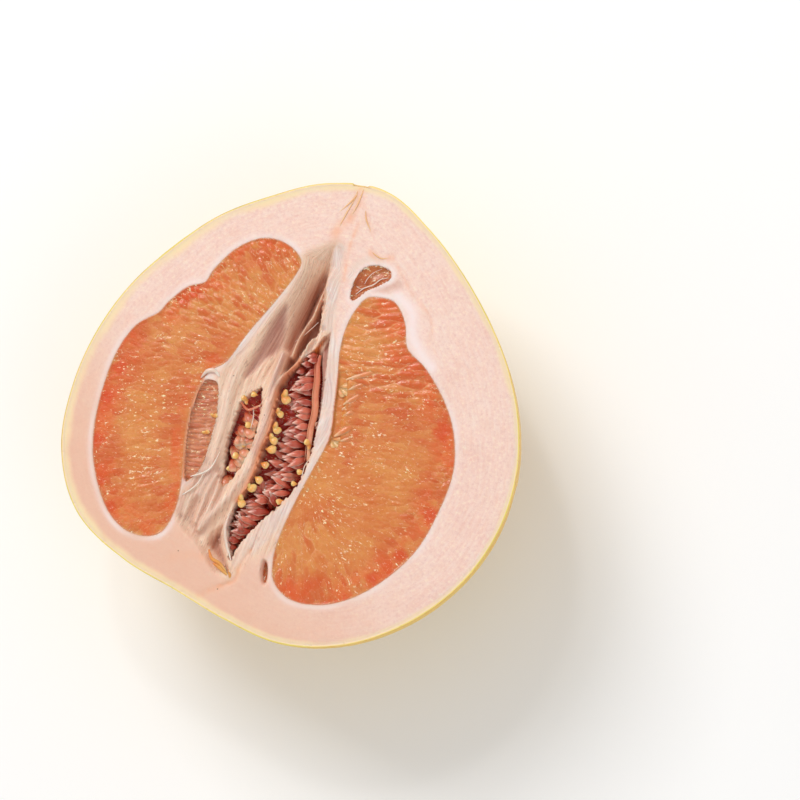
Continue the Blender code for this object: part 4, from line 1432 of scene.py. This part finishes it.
peach_ribbon = drop_material(
    "peach ribbon", 0.45, paint(208, 104, 72), paint(228, 138, 102), paint(238, 170, 136),
)

# %% [markdown]
# The sacs of the torn core grow in four columns from the right-hand wall, each column a little
# lower than the one before. Where a sac would grow through the core's edge it is shortened or
# left out. The window's sacs are blunter and less in order, so they are scattered.

# %% Sacs of the torn core
SAC_ROOTS = [
    (-3.5, 18.5), (-1, 12), (1.2, 5), (3.4, -2.5), (5.2, -10), (6.4, -17), (6.2, -24), (4.6, -30),
    (2.2, -36), (-0.5, -42), (-3, -49), (-4.8, -55),
]
SAC_COLUMNS = 4
SACS_IN_COLUMN = 27
COLUMNS_APART = 2.2
FROM_WALL = np.array([-0.93, -0.2])
SAC_HEADING = 206
LOOSE_TRIES = 40
WINDOW_TRIES = 54


def heading(degrees):
    """A direction on the cut face, counted from +X."""
    return np.array([math.cos(math.radians(degrees)), math.sin(math.radians(degrees))])


def is_inside(spot, outline, margin):
    """Whether a spot lies inside an outline by a margin."""
    return depth_inside(spot[None], outline)[0] > margin


def make_core_sacs():
    """Rows of mauve sacs that grow from the right wall and lie over each other."""
    cluster = Cluster(405)
    rng = cluster.rng
    wall = curve_through(SAC_ROOTS, 200, closed=False)
    for column in range(SAC_COLUMNS):
        for k in range(SACS_IN_COLUMN):
            share = (k + 0.5 * (column % 2) + rng.uniform(-0.3, 0.3)) / SACS_IN_COLUMN
            root = line_spot(wall, np.array([np.clip(share, 0, 1)]))[0]
            out = COLUMNS_APART * column - 0.6 + rng.uniform(-0.7, 0.7)
            root = root + FROM_WALL * out
            if not is_inside(root, LOCULE, 0.3) or (column == 3 and share < 0.45):
                continue
            length = rng.uniform(5.2, 8.0)
            lean = SAC_HEADING + rng.normal(0, 19) - 60 * max(0, share - 0.6)
            tip = root + length * heading(lean)
            if not is_inside(tip, LOCULE, 0.8):
                tip = root + 0.55 * (tip - root)
            low = -3.0 - 1.2 * column + rng.uniform(-0.8, 0.8)
            size = rng.uniform(1.25, 1.75)
            ends = (*root, FACE + low - 1.8), (*tip, FACE + low + 0.5)
            cluster.drop(*ends, size, flat=0.65, full=0.5, point=0.7, slim=0.7, blunt=0.1)
    for _ in range(LOOSE_TRIES):
        spot = np.array([rng.uniform(-11, 3), rng.uniform(-57, -32)])
        tip = spot + rng.uniform(4.5, 7.5) * heading(rng.uniform(95, 235))
        if is_inside(spot, LOCULE, 0.8) and is_inside(tip, LOCULE, 0.5):
            low = rng.uniform(-6, -2.8)
            size = rng.uniform(1.2, 1.7)
            ends = (*spot, FACE + low - 1.5), (*tip, FACE + low + 1.0)
            cluster.drop(*ends, size, flat=0.65, full=0.5, point=0.6, slim=0.6, blunt=0.1)
    return cluster.piece("core_sacs", mauve_sacs, "sacs", ["inner_sacs"])


def make_window_sacs():
    """Paler, blunter sacs in the window left of the middle cord."""
    cluster = Cluster(402)
    rng = cluster.rng
    for _ in range(WINDOW_TRIES):
        spot = np.array([rng.uniform(-22, -14), rng.uniform(-36, -8)])
        if not is_inside(spot, WINDOW, 1.0):
            continue
        if spot[0] > -15 + 0.1 * (spot[1] + 10) + rng.uniform(0, 1.5):
            continue
        tip = spot + rng.uniform(3.6, 5.4) * heading(rng.uniform(-80, 20))
        low = rng.uniform(-4.8, -2.6)
        ends = (*spot, FACE + low - 1.2), (*tip, FACE + low)
        cluster.drop(*ends, rng.uniform(1.4, 2.0), flat=0.4, full=0.7, slim=0.6, blunt=0.6)
    return cluster.piece("window_sacs", peach_sacs, "pale_sacs")


make_core_sacs()
make_window_sacs()

# %% [markdown]
# The seeds never grew, so they are small flat kernels, one or a few from each root. The pale
# ones at the edge of the right segment spread out like a fan and lie half in the flesh.

# %% Seeds on their cords
MIDDLE_SEEDS = [
    (-9.6, 0.7), (-9.3, -5.7), (-8.6, -10.7), (-8.4, -15), (-8.2, -19), (-8, -24), (-8.2, -29.2),
    (-9.8, -34), (-11, -38.5),
]
WINDOW_SEEDS = [
    (-19.6, -5), (-17.0, -2.2), (-14.6, -13), (-14.2, -20.2), (-14.8, -25), (-16, -30.2),
]
WALL_SEEDS = [(7, -12.4), (8, -21.6), (7.4, -26.6), (4.8, -33.4)]
EDGE_SEEDS = [(8.6, 10.0), (12.8, -8.0), (12.2, -13.8)]
SMALL_EDGE_SEEDS = [(11.8, -18.4), (10.9, -22), (10.0, -26.4)]
POCKET_SEEDS = [(-29.6, -21.7), (-29.2, -15)]


def make_seeds(
    name, spots, way_out, level, size, seed, stands_for=(), material=seed_yellow, turns=(0, 46),
    fewest=1, wide=0.4,
):
    """Seeds like small kernels, a few spread out from each root."""
    cluster = Cluster(seed)
    rng = cluster.rng
    out = math.degrees(math.atan2(way_out[1], way_out[0]))
    for spot in spots:
        fan = out + rng.uniform(-25, 25)
        full_size = size * rng.uniform(0.85, 1.2)
        for turn in turns[:rng.integers(fewest, len(turns) + 1)]:
            root = np.array([*spot, FACE + level - 0.9 + 0.3 * (turn == 0)])
            way_on = heading(fan + turn + rng.uniform(-8, 8))
            way_up = np.array([*way_on, rng.uniform(0.05, 0.25)])
            tip = root + full_size * (1 - abs(turn) / 110) * way_up
            cluster.drop(root, tip, wide * full_size, flat=0.4, full=0.8, slim=0.1, blunt=0.35)
    return cluster.piece(name, material, "seeds", stands_for)


make_seeds("seed_fans_middle", MIDDLE_SEEDS, (1, -0.2), -2.4, 3.7, 411, ["seeds_middle"])
make_seeds("seed_fans_window", WINDOW_SEEDS, (-1, 0.1), -2.8, 2.8, 412, ["seeds_left"])
make_seeds("seed_fans_wall", WALL_SEEDS, (-0.9, -0.3), -1.2, 2.8, 413, ["seeds_right"])
make_seeds(
    "seed_fans_edge", EDGE_SEEDS, (0.9, -0.1), -0.75, 6.0, 414, ["seeds_flesh_edge"], pale_seed,
    turns=(-36, -14, 10, 34), fewest=4, wide=0.17,
)
make_seeds("seed_fans_small", SMALL_EDGE_SEEDS, (0.9, -0.2), -0.3, 2.5, 416, (), pale_seed)
make_seeds("seed_fans_pocket", POCKET_SEEDS, (0.3, 0.3), -0.4, 2.0, 415)

# %% [markdown]
# Where the core tore, strips of tissue are left: a peach ribbon along the right-hand wall,
# white folds and threads, yellow shreds at the blossom end and fibres under the stem. Each is
# a line of points whose third number is the height over the cut.

# %% Ribbons, folds and loose threads
RIBBON = [
    (-1.6, 18.4, -3.4), (-1.0, 14.6, -3.2), (0.7, 9.6, -2.8), (1.9, 4.6, -3.1), (3.9, -1.0, -2.7),
    (4.6, -6.6, -3.0), (5.9, -11.6, -2.6), (7.7, -18, -2.2),
]
LOWER_RIBBON = [(1.6, -43.5, -1.2), (-2.5, -52.2, -1.8), (-5.0, -58.5, -2.6)]
WINDOW_RIBBON = [(-21.6, -6.6, -2.2), (-18.4, -8.2, -2.8), (-14.8, -5.2, -2.0)]
WHITE_FOLD = [(-37.6, -3.6, 0.0), (-36.2, -0.6, 0.5), (-33.8, 0.3, 0.5), (-31.6, -1.0, 0.1)]
CURL = [(-11.3, -44.2, -1.2), (-11, -49.2, -0.6), (-8.7, -54.2, -0.6), (-4.9, -59.6, -1.4)]
THREADS = [
    ([(-16.9, -7.2, -2.2), (-15.8, -10, -2.6), (-15.2, -14, -2.0)], 0.35),
    ([(-22, -24.9, -0.4), (-23.3, -32.5, 0.2), (-28.6, -37, 0.2)], 0.7),
    ([(-24.5, -33, 0.2), (-25.6, -39, 0.1), (-29, -44, 0.1)], 0.6),
    ([(8.6, 53.6, -0.3), (6.2, 51.4, -0.5), (5.0, 49.0, -0.6), (4.6, 46.6, -0.5)], 0.28),
    ([(11.8, 51.4, -0.2), (9.4, 50, -0.4), (7.6, 47.4, -0.4), (5, 45.2, -0.5), (3, 42.2, -0.3)], 0.4),
    ([(5.2, 45.6, -0.4), (4.0, 44.6, -0.5), (2.2, 45.0, -0.3)], 0.28),
    ([(8.8, -16, -0.4), (7.4, -20, -1.4), (8.2, -25, -0.8)], 0.4),
    ([(-12.6, 20, -8.0), (-9.5, 24, -6.2), (-6.5, 29, -4.5)], 0.3),
]
YELLOW_SHREDS = [
    [(-13.6, -58.4, -0.6), (-11.5, -61.0, -0.2), (-8.2, -61.8, -0.4), (-5.2, -63.6, -0.8)],
    [(-10.4, -62.4, 0.0), (-7.4, -63.2, -0.1), (-3.4, -65.0, -0.5)],
    [(-4.6, -62.6, -0.4), (-3.4, -64.2, -0.2), (-3.0, -65.6, -0.2)],
]
STEM_FIBRES = [
    [(-9.2, 77.2, -0.1), (-9.3, 74.1, 0.1), (-10.9, 70.5, 0.1), (-12.9, 67.1, -0.1)],
    [(-7.4, 78.4, -0.1), (-7.4, 75.4, 0.1), (-7.6, 71.2, 0.1), (-8.3, 67.4, -0.1)],
    [(-8.6, 76.0, -0.1), (-9.6, 71.0, 0.1), (-10.4, 66.0, 0.1), (-10.9, 62.0, -0.1)],
    [(-4.2, 71.2, -0.1), (-3.0, 68.4, 0.1), (-1.8, 66.8, 0.1), (1.2, 63.7, -0.1)],
    [(2.6, 58.2, -0.1), (4.8, 57.4, 0.1), (7.2, 57.0, 0.1), (9.8, 58.2, -0.1)],
]
RIBBON_EDGE = [(x - 1.0, y - 0.2, z + 0.25) for x, y, z in RIBBON]

ribbons = Cluster(421)
ribbons.thread(RIBBON, 2.3, 0.6, sides=8)
ribbons.thread(LOWER_RIBBON, 1.3, 0.5, sides=8)
ribbons.thread(RIBBON_EDGE, 0.5, 0.4, taper=0.8)
ribbons.thread(WINDOW_RIBBON, 1.0, 0.5)
ribbons.piece("peach_ribbons", peach_ribbon, "pale_sacs")
whites = Cluster(422)
whites.thread(WHITE_FOLD, 1.6, 0.8, sides=10, taper=0.8)
whites.thread(CURL, 1.1, 0.7, sides=8)
for line, width in THREADS:
    whites.thread(line, width)
whites.piece("white_threads", membrane, "pith")
shreds = Cluster(423)
for line in YELLOW_SHREDS:
    shreds.thread(line, 1.3, 0.6, taper=0.7)
shreds.piece("yellow_shreds", seed_yellow, "seeds")
stem_fibres = Cluster(424)
for line in STEM_FIBRES:
    stem_fibres.thread(line, 0.55, 0.2, taper=0.7)
stem_fibres.piece("stem_fibres", stem_fibre, "pith")

# %% [markdown]
# A few sacs of the right segment have come loose. They lie half sunk along its torn edge,
# clear and bright.

# %% Loose sacs at the flesh edge
LOOSE_SACS = [
    ((20.5, 1.0), (13.2, -6.6), 1.35), ((18.6, 5.2), (14.0, 1.0), 1.1),
    ((19.8, 12.9), (12.2, 4.6), 1.1), ((23.3, 22.1), (10.2, 13.1), 1.1),
    ((21.8, -3.6), (16.0, -7.6), 1.0), ((18.8, 8.4), (12.8, 2.9), 0.9),
    ((20.6, 17.4), (12.0, 9.6), 1.0),
]
LOOSE_SHAPE = {"flat": 0.6, "full": 0.6, "point": 0.5, "blunt": 0.15, "sides": 12, "rings": 10}

loose = Cluster(431)
for root, tip, radius in LOOSE_SACS:
    ends = (*root, FACE - 1.5), (*tip, FACE - 0.4)
    loose.drop(*ends, 1.1 * radius, **LOOSE_SHAPE)
loose.piece("loose_sacs", clear_sacs, "flesh")
